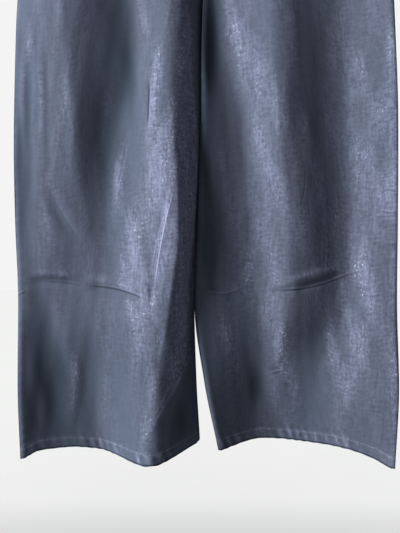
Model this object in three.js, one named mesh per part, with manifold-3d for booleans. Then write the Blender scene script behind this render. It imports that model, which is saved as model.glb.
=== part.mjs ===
// Wide-leg jeans with straight legs, hanging by the waistband. Millimetres, +Z up, the front faces -Y.
// The origin is the middle of the waistband's top edge, where the garment is held.
// Right and left are the wearer's, so the right leg lies at -X.
import * as THREE from 'three';
import { mergeVertices } from 'three/addons/utils/BufferGeometryUtils.js';
import Module from 'manifold-3d';

const wasm = await Module();
wasm.setup();

// Driving sizes of the cut
const OUTSEAM = 1036; // waistband's top edge to the hem
const RISE = 280; // waistband's top edge to the fork
const INSEAM = OUTSEAM - RISE;
const CLOTH = 1.6; // wall of one layer of cloth
const GAP = 0.3; // between two sewn pieces
const BAND_HEIGHT = 40;
const BAND_THICK = 3;
const BAND_PROUD = 0.7; // how far the band's face stands out from the panels
const HEM_HEIGHT = 16;
const HEM_TOP = -OUTSEAM + HEM_HEIGHT;
const EDGE_ROUND = 9; // width of the rounded edge at a side seam or inseam
const EDGE_DEPTH = 7; // half the thickness of that rounded edge
const FORK_DEPTH = 3; // half the space between front and back at the fork

const TOP = -BAND_HEIGHT - GAP; // the panels' top edge
const HIP = -150;
const FORK = -RISE;
const down = (share) => FORK - share * INSEAM;

// Levels of the fold tables: waist, band's lower edge, hip, fork, thigh, mid, knee, shin, calf, hem
const LEVELS = [0, -40, HIP, FORK, down(0.16), down(0.34), down(0.54), down(0.7), down(0.855), down(1)];

// The folds of each leg's front, from low x to high x. Each row is one line down the leg:
// its x at every level, and how far forward of the garment's middle plane the cloth lies there.
const RIGHT_FRONT = [
  {
    line: 'outseam',
    x: [-195, -199, -251, -278, -285, -286, -282, -277.5, -278.5, -278],
    depth: [0, 0, 3, 6, 10, 15, 20, 20, 20, 11],
  },
  {
    line: 'outer ridge',
    x: [-140, -144, -188, -205, -208, -196, -204, -225, -226, -230],
    depth: [15, 17, 26, 31, 36, 34, 28, 20, 8, -3],
  },
  {
    line: 'trough',
    x: [-95, -97, -110, -108, -105, -133, -144, -165, -172, -164],
    depth: [19, 20, 19, 12, 6, 8, 19, 21, 0, -14],
  },
  {
    line: 'inner ridge',
    x: [-45, -46, -50, -54, -54, -48, -38, -52, -70, -80],
    depth: [22, 23, 26, 26, 28, 42, 58, 57, 42, 47],
  },
  {
    line: 'inseam',
    x: [0, 0, 0, 0, 0, -2, -7, -14.5, -11.5, -6],
    depth: [22, 23, 24, 0, -12, -12, -12, -12, -18, -28],
  },
];
const LEFT_FRONT = [
  {
    line: 'inseam',
    x: [0, 0, 0, 0, -3.5, -5.5, -11.5, -14.5, 0.5, 21],
    depth: [22, 23, 24, 0, 2, 4, 10, 18, 20, 14],
  },
  {
    line: 'inner trough',
    x: [30, 30, 29, 25, 28, 57, 66, 78, 92, 98],
    depth: [21.5, 22.5, 24, 8, -5, -3, 3, 4, -14, -23],
  },
  {
    line: 'inner ridge',
    x: [75, 76, 86, 96, 106, 110, 125, 126, 118, 126],
    depth: [20, 22, 30, 34, 38, 39, 39, 29, -8, -23],
  },
  {
    line: 'outer trough',
    x: [125, 128, 160, 188, 208, 212, 219, 211, 172, 170],
    depth: [17, 18, 18, 14, 9, 7, 9, 10, -3, -12],
  },
  {
    line: 'outer ridge',
    x: [165, 168, 219, 246, 252, 254, 253, 252, 248, 240],
    depth: [12, 13, 16, 24, 28, 30, 32, 35, 36, 26],
  },
  {
    line: 'outseam',
    x: [195, 199, 250, 275, 278, 281, 280, 278.5, 280.5, 275],
    depth: [0, 0, 8, 28, 38, 41, 42, 43, 45, 44],
  },
];
// The folds of each leg's back: where the line runs, as a share of the way from outseam to inseam,
// and how far behind the middle plane the cloth lies.
const RIGHT_BACK = [
  { line: 'outer ridge', share: 0.2, depth: [15, 18, 27, 28, 28, 27, 27, 28, 32, 35] },
  { line: 'trough', share: 0.46, depth: [20, 22, 25, 20, 14, 14, 14, 16, 22, 27] },
  { line: 'inner ridge', share: 0.76, depth: [22, 24, 32, 34, 31, 30, 30, 31, 35, 40] },
];
const LEFT_BACK = [
  { line: 'outer ridge', share: 0.22, depth: [15, 18, 28, 30, 29, 28, 29, 31, 36, 40] },
  { line: 'trough', share: 0.5, depth: [20, 22, 25, 20, 14, 13, 13, 16, 25, 34] },
  { line: 'inner ridge', share: 0.78, depth: [22, 24, 32, 34, 32, 30, 28, 28, 33, 39] },
];
const BACK_CENTRE = [22, 27]; // depth of the centre back at the waist and at the hip

// Sharp storage creases across the knees, as soft troughs between two points of the front.
const CREASES = [
  { leg: 'right', from: [-245, -792], to: [-92, -818], depth: 4, width: 10 },
  { leg: 'left', from: [5, -812], to: [62, -800], depth: 3, width: 10 },
  { leg: 'left', from: [112, -812], to: [232, -776], depth: 4, width: 10 },
];

// How far the hem hangs below its level, by leg, at shares of the way from outseam to inseam
const HEM_DROP_AT = [0, 0.04, 0.1, 0.25, 0.5, 0.75, 1];
const HEM_DROP = { right: [7, 2, -4, -4, 3, 2, -8], left: [7, 4, -2, -9, -10, -13, -8] };

const lerp = (a, b, t) => a + (b - a) * t;
const clamp = (v, a, b) => Math.min(b, Math.max(a, v));
const ease = (t) => t * t * (3 - 2 * t);

// A smooth curve through (xs, ys) that is level at each peak and dip and never overshoots; xs rise.
function through(xs, ys, x) {
  const n = xs.length;
  const last = n - 1;
  if (x <= xs[0]) return ys[0];
  if (x >= xs[last]) return ys[last];
  const slope = (i) => (ys[i + 1] - ys[i]) / (xs[i + 1] - xs[i]);
  const tangent = (i) => {
    if (i === 0) return slope(0);
    if (i === last) return slope(last - 1);
    const [a, b] = [slope(i - 1), slope(i)];
    return a * b <= 0 ? 0 : (2 * a * b) / (a + b);
  };
  let i = 0;
  while (x > xs[i + 1]) i++;
  const h = xs[i + 1] - xs[i];
  const t = (x - xs[i]) / h;
  const rest = 1 - t;
  return (
    ys[i] * (1 + 2 * t) * rest * rest +
    tangent(i) * h * t * rest * rest +
    ys[i + 1] * t * t * (3 - 2 * t) -
    tangent(i + 1) * h * t * t * rest
  );
}
const FALLING = LEVELS.map((z) => -z);
const atLevel = (values, z) => through(FALLING, values, -z);

// Depth of the centre front or centre back between hip and fork: a quarter of an ellipse.
function riseCurve(waistDepth, hipDepth, z) {
  if (z >= HIP) return lerp(waistDepth, hipDepth, ease(clamp(z / HIP, 0, 1)));
  const share = clamp((HIP - z) / (HIP - FORK), 0, 1);
  return FORK_DEPTH + (hipDepth - FORK_DEPTH) * Math.sqrt(1 - share * share);
}

const rounded = (d) => (d >= EDGE_ROUND ? 1 : Math.sqrt(1 - (1 - Math.max(d, 0) / EDGE_ROUND) ** 2));

const LEGS = {
  right: { name: 'right', front: RIGHT_FRONT, back: RIGHT_BACK, side: -1 },
  left: { name: 'left', front: LEFT_FRONT, back: LEFT_BACK, side: 1 },
};
for (const leg of Object.values(LEGS)) {
  leg.out = leg.front.find((row) => row.line === 'outseam');
  leg.inner = leg.front.find((row) => row.line === 'inseam');
}

const outX = (leg, z) => atLevel(leg.out.x, z);
const innerX = (leg, z) => (z >= FORK ? 0 : atLevel(leg.inner.x, z)) + (leg.side * GAP) / 2;

// The y of the seam where front and back meet, at the outseam and below the fork at the inseam.
const outSeamY = (leg, z) => -atLevel(leg.out.depth, z);
const innerSeamY = (leg, z) => -atLevel(leg.inner.depth, z);

function creaseDepth(leg, x, z) {
  let sum = 0;
  for (const c of CREASES) {
    if (c.leg !== leg.name) continue;
    const t = (x - c.from[0]) / (c.to[0] - c.from[0]);
    if (t < 0 || t > 1) continue;
    const off = (z - lerp(c.from[1], c.to[1], t)) / c.width;
    sum += c.depth * Math.sin(Math.PI * t) * Math.exp(-off * off);
  }
  return sum;
}

// How far the rounded edges draw the cloth in towards the seams at x.
function edgeDraw(leg, x, z) {
  const atSide = EDGE_DEPTH * (1 - rounded(Math.abs(x - outX(leg, z))));
  const atInseam = z >= FORK ? 0 : EDGE_DEPTH * (1 - rounded(Math.abs(x - innerX(leg, z))));
  return atSide + atInseam;
}

// y of the outer face of the front cloth
function frontY(leg, x, z) {
  const aboveFork = z >= FORK;
  const xs = leg.front.map((row) => (row === leg.inner && aboveFork ? 0 : atLevel(row.x, z)));
  const depths = leg.front.map((row) => {
    if (row === leg.out) return atLevel(row.depth, z) + EDGE_DEPTH;
    if (row !== leg.inner) return atLevel(row.depth, z);
    return aboveFork ? riseCurve(row.depth[0], row.depth[1], z) : atLevel(row.depth, z) + EDGE_DEPTH;
  });
  return -(through(xs, depths, x) - edgeDraw(leg, x, z) - creaseDepth(leg, x, z));
}

// y of the outer face of the back cloth
function backY(leg, x, z) {
  const aboveFork = z >= FORK;
  const out = outX(leg, z);
  const inner = aboveFork ? 0 : innerX(leg, z);
  const rows = [
    [out, EDGE_DEPTH + outSeamY(leg, z)],
    ...leg.back.map((row) => [lerp(out, inner, row.share), atLevel(row.depth, z)]),
    [inner, aboveFork ? riseCurve(BACK_CENTRE[0], BACK_CENTRE[1], z) : EDGE_DEPTH + innerSeamY(leg, z)],
  ].sort((a, b) => a[0] - b[0]);
  return through(rows.map((r) => r[0]), rows.map((r) => r[1]), x) - edgeDraw(leg, x, z);
}

// Columns of a panel as distances from its outseam: close together on the rounded edges,
// and between them a whole number to each stretch from one fold line to the next.
const EDGE_COLUMNS = [0, 1.2, 4, EDGE_ROUND];
function columns(width, lines, perStretch) {
  const stops = [EDGE_ROUND, ...lines, width - EDGE_ROUND];
  const between = stops.slice(1).flatMap((stop, i) =>
    Array.from({ length: perStretch }, (_, k) => lerp(stops[i], stop, (k + 1) / perStretch)),
  );
  return [...EDGE_COLUMNS, ...between.slice(0, -1), ...EDGE_COLUMNS.map((d) => width - d).reverse()];
}
function frontColumns(leg, z, width) {
  const inside = leg.front.filter((line) => line !== leg.out && line !== leg.inner);
  const lines = inside.map((line) => Math.abs(outX(leg, z) - atLevel(line.x, z))).sort((a, b) => a - b);
  return columns(width, lines, leg === LEGS.right ? 4 : 3);
}
function backColumns(leg, z, width) {
  const lines = leg.back.map((line) => line.share * width);
  return columns(width, lines, 3);
}

// One row of a panel, as points with outward normals. face is 'front' or 'back'.
// columnsAt gives the distances from the outseam, and lift moves the cloth outwards.
function row(leg, face, z, distances, { lift = () => 0, innerEdge = innerX, out = outX } = {}) {
  const away = face === 'front' ? -1 : 1;
  const surface = face === 'front' ? frontY : backY;
  const edge = out(leg, z);
  const inner = innerEdge(leg, z);
  const points = distances.map((d) => {
    const x = edge - leg.side * d;
    const reach = leg.side < 0 ? Math.min(x, inner) : Math.max(x, inner);
    return [reach, surface(leg, reach, z) + away * lift(reach, z), z];
  });
  const normals = points.map((_, i) => {
    const a = points[Math.max(i - 1, 0)];
    const b = points[Math.min(i + 1, points.length - 1)];
    const [dx, dy] = [b[0] - a[0], b[1] - a[1]];
    const length = Math.hypot(dx, dy) || 1;
    const flip = Math.sign(away * dx) || 1;
    return [(-dy / length) * flip, (dx / length) * flip, 0];
  });
  return { points, normals };
}

const moved = (r, distance) => r.points.map((p, i) => p.map((v, k) => v + r.normals[i][k] * distance));

// Turns a seam's end point so that the wall is cut square along the seam.
function squareSeam(r, index, normal, seamY) {
  r.normals[index] = normal;
  r.points[index][1] = seamY;
}

// A closed solid between two grids of points. With ring true the columns close on themselves.
function solid(outer, inner, { ring = false, flip = false } = {}) {
  const rows = outer.length;
  const cols = outer[0].length;
  const positions = [...outer.flat(), ...inner.flat()].flat();
  const at = (side, r, c) => side * rows * cols + r * cols + (c % cols);
  const index = [];
  const quad = (a, b, c, d) => index.push(...(flip ? [a, c, b, a, d, c] : [a, b, c, a, c, d]));
  const spans = ring ? cols : cols - 1;
  for (let r = 0; r < rows - 1; r++) {
    for (let c = 0; c < spans; c++) {
      quad(at(0, r, c), at(0, r + 1, c), at(0, r + 1, c + 1), at(0, r, c + 1));
      quad(at(1, r, c), at(1, r, c + 1), at(1, r + 1, c + 1), at(1, r + 1, c));
    }
  }
  for (let c = 0; c < spans; c++) {
    quad(at(0, 0, c), at(0, 0, c + 1), at(1, 0, c + 1), at(1, 0, c));
    quad(at(0, rows - 1, c + 1), at(0, rows - 1, c), at(1, rows - 1, c), at(1, rows - 1, c + 1));
  }
  if (!ring) {
    for (let r = 0; r < rows - 1; r++) {
      quad(at(0, r + 1, 0), at(0, r, 0), at(1, r, 0), at(1, r + 1, 0));
      quad(at(0, r, cols - 1), at(0, r + 1, cols - 1), at(1, r + 1, cols - 1), at(1, r, cols - 1));
    }
  }
  const geometry = new THREE.BufferGeometry();
  geometry.setAttribute('position', new THREE.Float32BufferAttribute(positions, 3));
  geometry.setIndex(index);
  return geometry;
}

// Walls of cloth from rows with normals: outer face moved by from, inner face by to.
const wall = (rows, from, to, options) =>
  solid(rows.map((r) => moved(r, from)), rows.map((r) => moved(r, to)), options);

// Materials
const DENIM = new THREE.MeshStandardMaterial({ color: 0x3c4254, roughness: 0.55, metalness: 0 });
const DENIM_INSIDE = new THREE.MeshStandardMaterial({ color: 0x343a4a, roughness: 0.7, metalness: 0 });
const METAL = new THREE.MeshStandardMaterial({ color: 0x6e6a66, roughness: 0.35, metalness: 1 });
const ZIP = new THREE.MeshStandardMaterial({ color: 0x2b3040, roughness: 0.6, metalness: 0 });

const jeans = new THREE.Group();
function add(name, geometry, material) {
  const mesh = new THREE.Mesh(geometry, material);
  mesh.name = name;
  jeans.add(mesh);
  return mesh;
}

// The fly: the left front laps over the right one down to FLY_END.
const FLY_END = -188;
const FLY_LAP = 7;
const FLY_CLOSED = 10; // over this much height the lap runs out below FLY_END
const FLY_FADE = 24; // width over which the lap's lift runs out
const FLY_LIFT = CLOTH + 0.8;

function flyLift(x, z) {
  const across = 1 - ease(clamp((x - 8) / FLY_FADE, 0, 1));
  const below = 1 - ease(clamp((FLY_END - FLY_CLOSED - z) / FLY_FADE, 0, 1));
  return FLY_LIFT * across * below;
}
function flyEdge(leg, z) {
  const closed = ease(clamp((FLY_END - z) / FLY_CLOSED, 0, 1));
  return z > FORK ? lerp(-FLY_LAP, GAP / 2, closed) : innerX(leg, z);
}

// Heights of the rows: close at the fly's end, the fork and the knee creases
function heights(start) {
  const body = [-62, -88, -114, -138, -162, FLY_END, FLY_END - FLY_CLOSED, -210, -224, -244, -260, -272, FORK];
  const fork = [5, 20, 45].map((d) => FORK - d);
  const thigh = Array.from({ length: 10 }, (_, i) => FORK - 86 - i * 43);
  const knee = [0, 11, 21, 30, 39, 50].map((d) => -776 - d);
  const calf = [-856, -889, -922, -955, -986, HEM_TOP, -OUTSEAM];
  return [...body, ...fork, ...thigh, ...knee, ...calf].filter((z) => z < start - 8);
}

function hemDrop(leg, x) {
  const share = (x - outX(leg, -OUTSEAM)) / (innerX(leg, -OUTSEAM) - outX(leg, -OUTSEAM));
  return through(HEM_DROP_AT, HEM_DROP[leg.name], clamp(share, 0, 1));
}

// Lets the last rows hang down with the hem.
function dropped(r, leg) {
  r.points.forEach((p) => {
    p[2] -= hemDrop(leg, p[0]) * ease(clamp((-p[2] - (OUTSEAM - 120)) / 120, 0, 1));
  });
  return r;
}

function frontRow(leg, z) {
  const lapped = leg.name === 'left';
  const innerEdge = lapped ? flyEdge : innerX;
  const width = Math.abs(outX(leg, z) - innerEdge(leg, z));
  const r = row(leg, 'front', z, frontColumns(leg, z, width), { innerEdge, lift: lapped ? flyLift : undefined });
  const end = r.points.length - 1;
  squareSeam(r, 0, [leg.side, 0, 0], outSeamY(leg, z) - GAP / 2);
  if (z < FORK) squareSeam(r, end, [-leg.side, 0, 0], innerSeamY(leg, z) - GAP / 2);
  else r.normals[end] = [0, -1, 0];
  return dropped(r, leg);
}

function backRow(leg, z) {
  const width = Math.abs(outX(leg, z) - innerX(leg, z));
  const r = row(leg, 'back', z, backColumns(leg, z, width));
  const end = r.points.length - 1;
  squareSeam(r, 0, [leg.side, 0, 0], outSeamY(leg, z) + GAP / 2);
  if (z < FORK) squareSeam(r, end, [-leg.side, 0, 0], innerSeamY(leg, z) + GAP / 2);
  else r.normals[end] = [0, 1, 0];
  return dropped(r, leg);
}

// The yoke seam falls from the side seam to the centre back.
const YOKE_SIDE = -80;
const YOKE_CENTRE = -104;
const yokeZ = (leg, x, z) => lerp(YOKE_CENTRE, YOKE_SIDE, clamp(Math.abs(x / outX(leg, z)), 0, 1));

// Moves a row of the back onto the yoke seam, keeping it on the cloth.
function onYokeSeam(leg, share, shift) {
  const r = backRow(leg, lerp(TOP, (YOKE_SIDE + YOKE_CENTRE) / 2, share));
  r.points.forEach((p, i) => {
    const z = lerp(TOP, yokeZ(leg, p[0], p[2]), share) + shift;
    const x = (p[0] * outX(leg, z)) / outX(leg, p[2]);
    const last = i === r.points.length - 1;
    p[0] = last ? innerX(leg, z) : x;
    p[1] = i === 0 ? outSeamY(leg, z) + GAP / 2 : backY(leg, p[0], z);
    p[2] = z;
  });
  return r;
}

// Front pocket: the scoop cut from the front's top corner
const SCOOP_WIDTH = 86;
const SCOOP_DEPTH = 82;

function scoopCutter(leg) {
  const corner = outX(leg, TOP);
  const shape = new THREE.Shape();
  const toward = -leg.side;
  shape.moveTo(toward * SCOOP_WIDTH, 20);
  shape.absellipse(0, 0, SCOOP_WIDTH, SCOOP_DEPTH, toward > 0 ? 0 : Math.PI, -Math.PI / 2, toward > 0, 0);
  shape.lineTo(-toward * 60, -SCOOP_DEPTH);
  shape.lineTo(-toward * 60, 20);
  const block = new THREE.ExtrudeGeometry(shape, { depth: 120, bevelEnabled: false, curveSegments: 12 });
  block.rotateX(Math.PI / 2); // the shape's y becomes z, and the depth runs towards the front
  block.translate(corner, outSeamY(leg, TOP) + 0.05, TOP);
  return block;
}

function toManifold(geometry) {
  const bare = geometry.index ? geometry.toNonIndexed() : geometry.clone();
  for (const name of Object.keys(bare.attributes)) if (name !== 'position') bare.deleteAttribute(name);
  const merged = mergeVertices(bare, 1e-4);
  return new wasm.Manifold(
    new wasm.Mesh({
      numProp: 3,
      vertProperties: new Float32Array(merged.attributes.position.array),
      triVerts: new Uint32Array(merged.index.array),
    }),
  );
}

function fromManifold(body) {
  const mesh = body.getMesh();
  const geometry = new THREE.BufferGeometry();
  const positions = new Float32Array(mesh.numVert * 3);
  for (let i = 0; i < mesh.numVert; i++) {
    positions.set(mesh.vertProperties.subarray(i * mesh.numProp, i * mesh.numProp + 3), i * 3);
  }
  geometry.setAttribute('position', new THREE.BufferAttribute(positions, 3));
  geometry.setIndex(new THREE.BufferAttribute(mesh.triVerts, 1));
  return geometry;
}

function frontPanel(leg) {
  const rows = [TOP, ...heights(TOP)].map((z) => frontRow(leg, z));
  const cloth = wall(rows, 0, -CLOTH, { flip: leg.side > 0 });
  return fromManifold(toManifold(cloth).subtract(toManifold(scoopCutter(leg))));
}

function backPanel(leg) {
  const start = YOKE_CENTRE - GAP;
  const seam = onYokeSeam(leg, 1, -GAP / 2);
  const rows = [seam, ...heights(start).map((z) => backRow(leg, z))];
  return wall(rows, 0, -CLOTH, { flip: leg.side < 0 });
}

function yoke(leg) {
  const rows = [0, 0.5, 1].map((share) => onYokeSeam(leg, share, (GAP / 2) * share));
  return wall(rows, 0, -CLOTH, { flip: leg.side < 0 });
}

// A patch that lies on or under a panel: x and z follow from column and row shares.
function patch(leg, face, place, cols, rows, from, to) {
  const surface = face === 'front' ? frontY : backY;
  const away = face === 'front' ? -1 : 1;
  const made = Array.from({ length: rows + 1 }, (_, r) => {
    const points = Array.from({ length: cols + 1 }, (_, c) => {
      const [x, z] = place(c / cols, r / rows);
      return [x, surface(leg, x, z), z];
    });
    const normals = points.map(([x, y, z]) => {
      const step = 3;
      const slope = (surface(leg, x + step, z) - surface(leg, x - step, z)) / (2 * step);
      const length = Math.hypot(1, slope);
      return [(-slope / length) * away, away / length, 0];
    });
    return { points, normals };
  });
  const rising = made[0].points[cols][0] > made[0].points[0][0];
  return wall(made, from, to, { flip: rising !== (face === 'front') });
}

const UNDER = -CLOTH - GAP; // the face of a layer just inside a panel

// The pocket bag's facing, which shows in the scoop
function pocketFacing(leg) {
  const thick = 1.2;
  const rows = Array.from({ length: 7 }, (_, r) => {
    const z = lerp(TOP, TOP - SCOOP_DEPTH - 16, r / 6);
    const distances = [0, 1.2, 4, EDGE_ROUND, ...[1, 2, 3, 4, 5].map((i) => EDGE_ROUND + i * 18)];
    const line = row(leg, 'front', z, distances);
    squareSeam(line, 0, [leg.side, 0, 0], outSeamY(leg, z) - GAP / 2);
    return line;
  });
  return wall(rows, UNDER - 0.2, UNDER - 0.2 - thick, { flip: leg.side > 0 });
}

// Back patch pocket: straight sides and a shallow point at the bottom
const POCKET = { centre: 118, width: 138, top: -128, side: 118, point: 20, thick: 1.6, clear: 0.8 };
function backPocket(leg) {
  const half = POCKET.width / 2;
  const place = (c, r) => {
    const across = lerp(-half, half, c);
    const narrow = lerp(1, 0.93, r);
    const bottom = POCKET.top - POCKET.side - POCKET.point * (1 - Math.abs(across) / half);
    return [leg.side * POCKET.centre + across * narrow, lerp(POCKET.top, bottom, r)];
  };
  return patch(leg, 'back', place, 12, 8, POCKET.clear + POCKET.thick, POCKET.clear);
}

// The turned-up hem: a ring made from the panels' last two rows, moved inwards.
// It cuts the corner at each seam, where the cloth turns too tightly for a second layer.
const HEM_CORNER = 4.7;
function hem(leg) {
  const tight = EDGE_COLUMNS.length - 2;
  const rows = [HEM_TOP, -OUTSEAM].map((z) => {
    const front = frontRow(leg, z);
    const back = backRow(leg, z);
    const seam = (index, inward) => {
      const x = front.points[index][0] + inward * HEM_CORNER;
      return [x, lerp(frontY(leg, x, z), backY(leg, x, z), 0.6), front.points[index][2]];
    };
    const inside = (list) => list.slice(1 + tight, -1 - tight);
    const end = front.points.length - 1;
    return {
      points: [
        seam(0, -leg.side),
        ...inside(front.points),
        seam(end, leg.side),
        ...inside(back.points).reverse(),
      ],
      normals: [
        front.normals[0],
        ...inside(front.normals),
        front.normals[end],
        ...inside(back.normals).reverse(),
      ],
    };
  });
  return wall(rows, UNDER, UNDER - CLOTH, { ring: true, flip: leg.side > 0 });
}

// The waistband: one strip once round the waist, its left end lapped over the right one and buttoned
const LAP_END = -21; // x of the overlapping end
const LAP_UNDER = 30; // x of the end beneath it
const LAP_LIFT = BAND_THICK + 0.4;

function waistband() {
  const { right, left } = LEGS;
  const half = (leg) => outX(leg, 0);
  const ends = 16;
  const path = [
    ...sidePoints(right, 'front', LAP_UNDER, half(right), ends),
    ...sidePoints(right, 'back', half(right), 0, ends).slice(1),
    ...sidePoints(left, 'back', 0, half(left), ends).slice(1),
    ...sidePoints(left, 'front', half(left), LAP_END, ends + 6).slice(1),
  ];
  const lapped = path.length - ends - 5;
  const strip = [0, -BAND_HEIGHT].map((z) => {
    const points = path.map((p, i) => {
      const x = p.x * (outX(p.leg, z) / outX(p.leg, 0));
      const y = p.face === 'front' ? frontY(p.leg, x, z) : backY(p.leg, x, z);
      const lift = i > lapped ? LAP_LIFT * (1 - ease(clamp((x - LAP_UNDER - 6) / 22, 0, 1))) : 0;
      return [x, y - lift, z];
    });
    const normals = points.map((_, i) => {
      const a = points[Math.max(i - 1, 0)];
      const b = points[Math.min(i + 1, points.length - 1)];
      const length = Math.hypot(b[0] - a[0], b[1] - a[1]);
      return [(b[1] - a[1]) / length, -(b[0] - a[0]) / length, 0].map((v) => -v);
    });
    return { points, normals };
  });
  return wall(strip, BAND_PROUD, BAND_PROUD - BAND_THICK, { flip: true });
}

// Points along one face of the waist, spaced as on an ellipse so that they crowd at the side seam.
function sidePoints(leg, face, from, to, count) {
  const reach = outX(leg, 0);
  const angle = (x) => Math.acos(clamp(x / reach, -1, 1));
  const [a, b] = [angle(from), angle(to)];
  return Array.from({ length: count }, (_, i) => ({ leg, face, x: reach * Math.cos(lerp(a, b, i / (count - 1))) }));
}

// Belt loops: flat strips over the waistband
const LOOP = { width: 11, top: -2, bottom: -47, thick: 1.6, clear: 0.4 };
function beltLoop(leg, face, x) {
  const from = BAND_PROUD + LOOP.clear;
  const place = (c, r) => [x + (c - 0.5) * LOOP.width, lerp(LOOP.top, LOOP.bottom, r)];
  return patch(leg, face, place, 2, 4, from + LOOP.thick, from);
}

// The button's cap on its shank, on the waistband's lapped end
const BUTTON = { x: -7, z: -BAND_HEIGHT / 2, radius: 8.5 };
function button() {
  const profile = [
    [0, 0], [5.4, 0], [5.4, 0.7], [7.6, 0.9], [BUTTON.radius, 1.5], [BUTTON.radius, 2.1], [7.9, 2.8],
    [7.1, 2.9], [6.4, 2.5], [4.6, 2.6], [2.4, 2.9], [0, 3],
  ].map(([r, h]) => new THREE.Vector2(r, h));
  const cap = new THREE.LatheGeometry(profile, 24);
  cap.rotateX(Math.PI / 2); // the axis, +Y, turns to +Z
  cap.rotateX(Math.PI / 2); // and then to -Y, out of the front
  const face = frontY(LEGS.right, BUTTON.x, BUTTON.z) - LAP_LIFT - BAND_PROUD;
  cap.translate(BUTTON.x, face - GAP, BUTTON.z);
  return cap;
}

// Inside the fly: the zip's tape under the lap, and the shield behind it
const SHIELD = { from: -36, to: 16, bottom: -190, thick: 1.4 };
const TAPE = { from: -13, to: 11, bottom: -182, thick: 0.8 };
function zip() {
  const place = (c, r) => [lerp(TAPE.from, TAPE.to, c), lerp(TOP - 2, TAPE.bottom, r)];
  return patch(LEGS.right, 'front', place, 6, 8, UNDER, UNDER - TAPE.thick);
}
function flyShield() {
  const face = UNDER - TAPE.thick - GAP;
  const round = (c, r) => (r < 1 ? 0 : 18 * Math.pow(Math.abs(c - 0.15), 2));
  const place = (c, r) => [lerp(SHIELD.from, SHIELD.to, c), lerp(TOP, SHIELD.bottom, r) + round(c, r)];
  return patch(LEGS.right, 'front', place, 6, 8, face, face - SHIELD.thick);
}

for (const leg of Object.values(LEGS)) {
  add('front_' + leg.name, frontPanel(leg), DENIM);
  add('back_' + leg.name, backPanel(leg), DENIM);
  add('yoke_' + leg.name, yoke(leg), DENIM);
  add('pocket_facing_' + leg.name, pocketFacing(leg), DENIM);
  add('back_pocket_' + leg.name, backPocket(leg), DENIM);
  add('hem_' + leg.name, hem(leg), DENIM_INSIDE);
}
add('waistband', waistband(), DENIM);
add('belt_loop_front_right', beltLoop(LEGS.right, 'front', -92), DENIM);
add('belt_loop_front_left', beltLoop(LEGS.left, 'front', 92), DENIM);
add('belt_loop_back_right', beltLoop(LEGS.right, 'back', -122), DENIM);
add('belt_loop_back_left', beltLoop(LEGS.left, 'back', 122), DENIM);
add('belt_loop_back_centre', beltLoop(LEGS.left, 'back', 0), DENIM);
add('button', button(), METAL);
add('zip', zip(), ZIP);
add('fly_shield', flyShield(), DENIM_INSIDE);

export default jeans;
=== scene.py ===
"""Wide-leg jeans hanging by the waistband. The tables are in millimetres, and the meshes in metres."""

import math

import bpy
import numpy as np
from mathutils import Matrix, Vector


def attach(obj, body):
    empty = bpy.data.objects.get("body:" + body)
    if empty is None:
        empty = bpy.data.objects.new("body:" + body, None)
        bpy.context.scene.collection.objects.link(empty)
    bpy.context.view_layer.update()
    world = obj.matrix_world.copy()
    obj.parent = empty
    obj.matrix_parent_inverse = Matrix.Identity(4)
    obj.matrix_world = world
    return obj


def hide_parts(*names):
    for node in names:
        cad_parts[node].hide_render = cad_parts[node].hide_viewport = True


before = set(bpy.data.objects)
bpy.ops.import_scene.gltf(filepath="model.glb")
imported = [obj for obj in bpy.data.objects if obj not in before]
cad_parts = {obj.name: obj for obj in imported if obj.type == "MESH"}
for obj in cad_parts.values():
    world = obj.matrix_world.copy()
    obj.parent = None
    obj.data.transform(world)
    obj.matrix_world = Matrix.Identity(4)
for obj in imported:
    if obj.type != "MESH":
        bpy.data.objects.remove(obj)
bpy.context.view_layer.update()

MM = 0.001

# Sizes of the cut
OUTSEAM = 1036
RISE = 280
INSEAM = OUTSEAM - RISE
GAP = 0.3
SEAM_GAP = 0.06  # left open along the centre seams
BAND_HEIGHT = 40
BAND_THICK = 3
BAND_PROUD = 0.7
HEM_HEIGHT = 16
HEM_STITCHED = 14.5  # the hem's row of stitches, above its edge
EDGE_ROUND = 9
EDGE_DEPTH = 7
FORK_DEPTH = 3
CLOTH = 1.1  # thickness of one layer of denim

TOP = -BAND_HEIGHT - GAP
HIP = -150
FORK = -RISE


def down(share):
    return FORK - share * INSEAM


LEVELS = [0, -40, HIP, FORK, down(0.16), down(0.34), down(0.54), down(0.7), down(0.855), down(1)]

# Lines down each leg's front: name, x at every level, depth before the middle plane at every level
RIGHT_FRONT = [
    (
        "outseam",
        [-195, -199, -251, -278, -285, -286, -282, -277.5, -278.5, -278],
        [0, 0, 3, 6, 10, 15, 20, 20, 20, 11],
    ),
    (
        "outer ridge",
        [-140, -144, -188, -205, -208, -196, -204, -225, -226, -230],
        [15, 17, 26, 31, 36, 34, 28, 20, 8, -3],
    ),
    (
        "trough",
        [-95, -97, -110, -108, -105, -133, -144, -165, -172, -164],
        [19, 20, 19, 12, 6, 8, 19, 21, 0, -14],
    ),
    (
        "inner ridge",
        [-45, -46, -50, -54, -54, -48, -38, -52, -70, -80],
        [22, 23, 26, 26, 28, 42, 58, 57, 42, 47],
    ),
    (
        "inseam",
        [0, 0, 0, 0, 0, -2, -7, -14.5, -11.5, -6],
        [22, 23, 24, 0, -12, -12, -12, -12, -18, -28],
    ),
]
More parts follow.
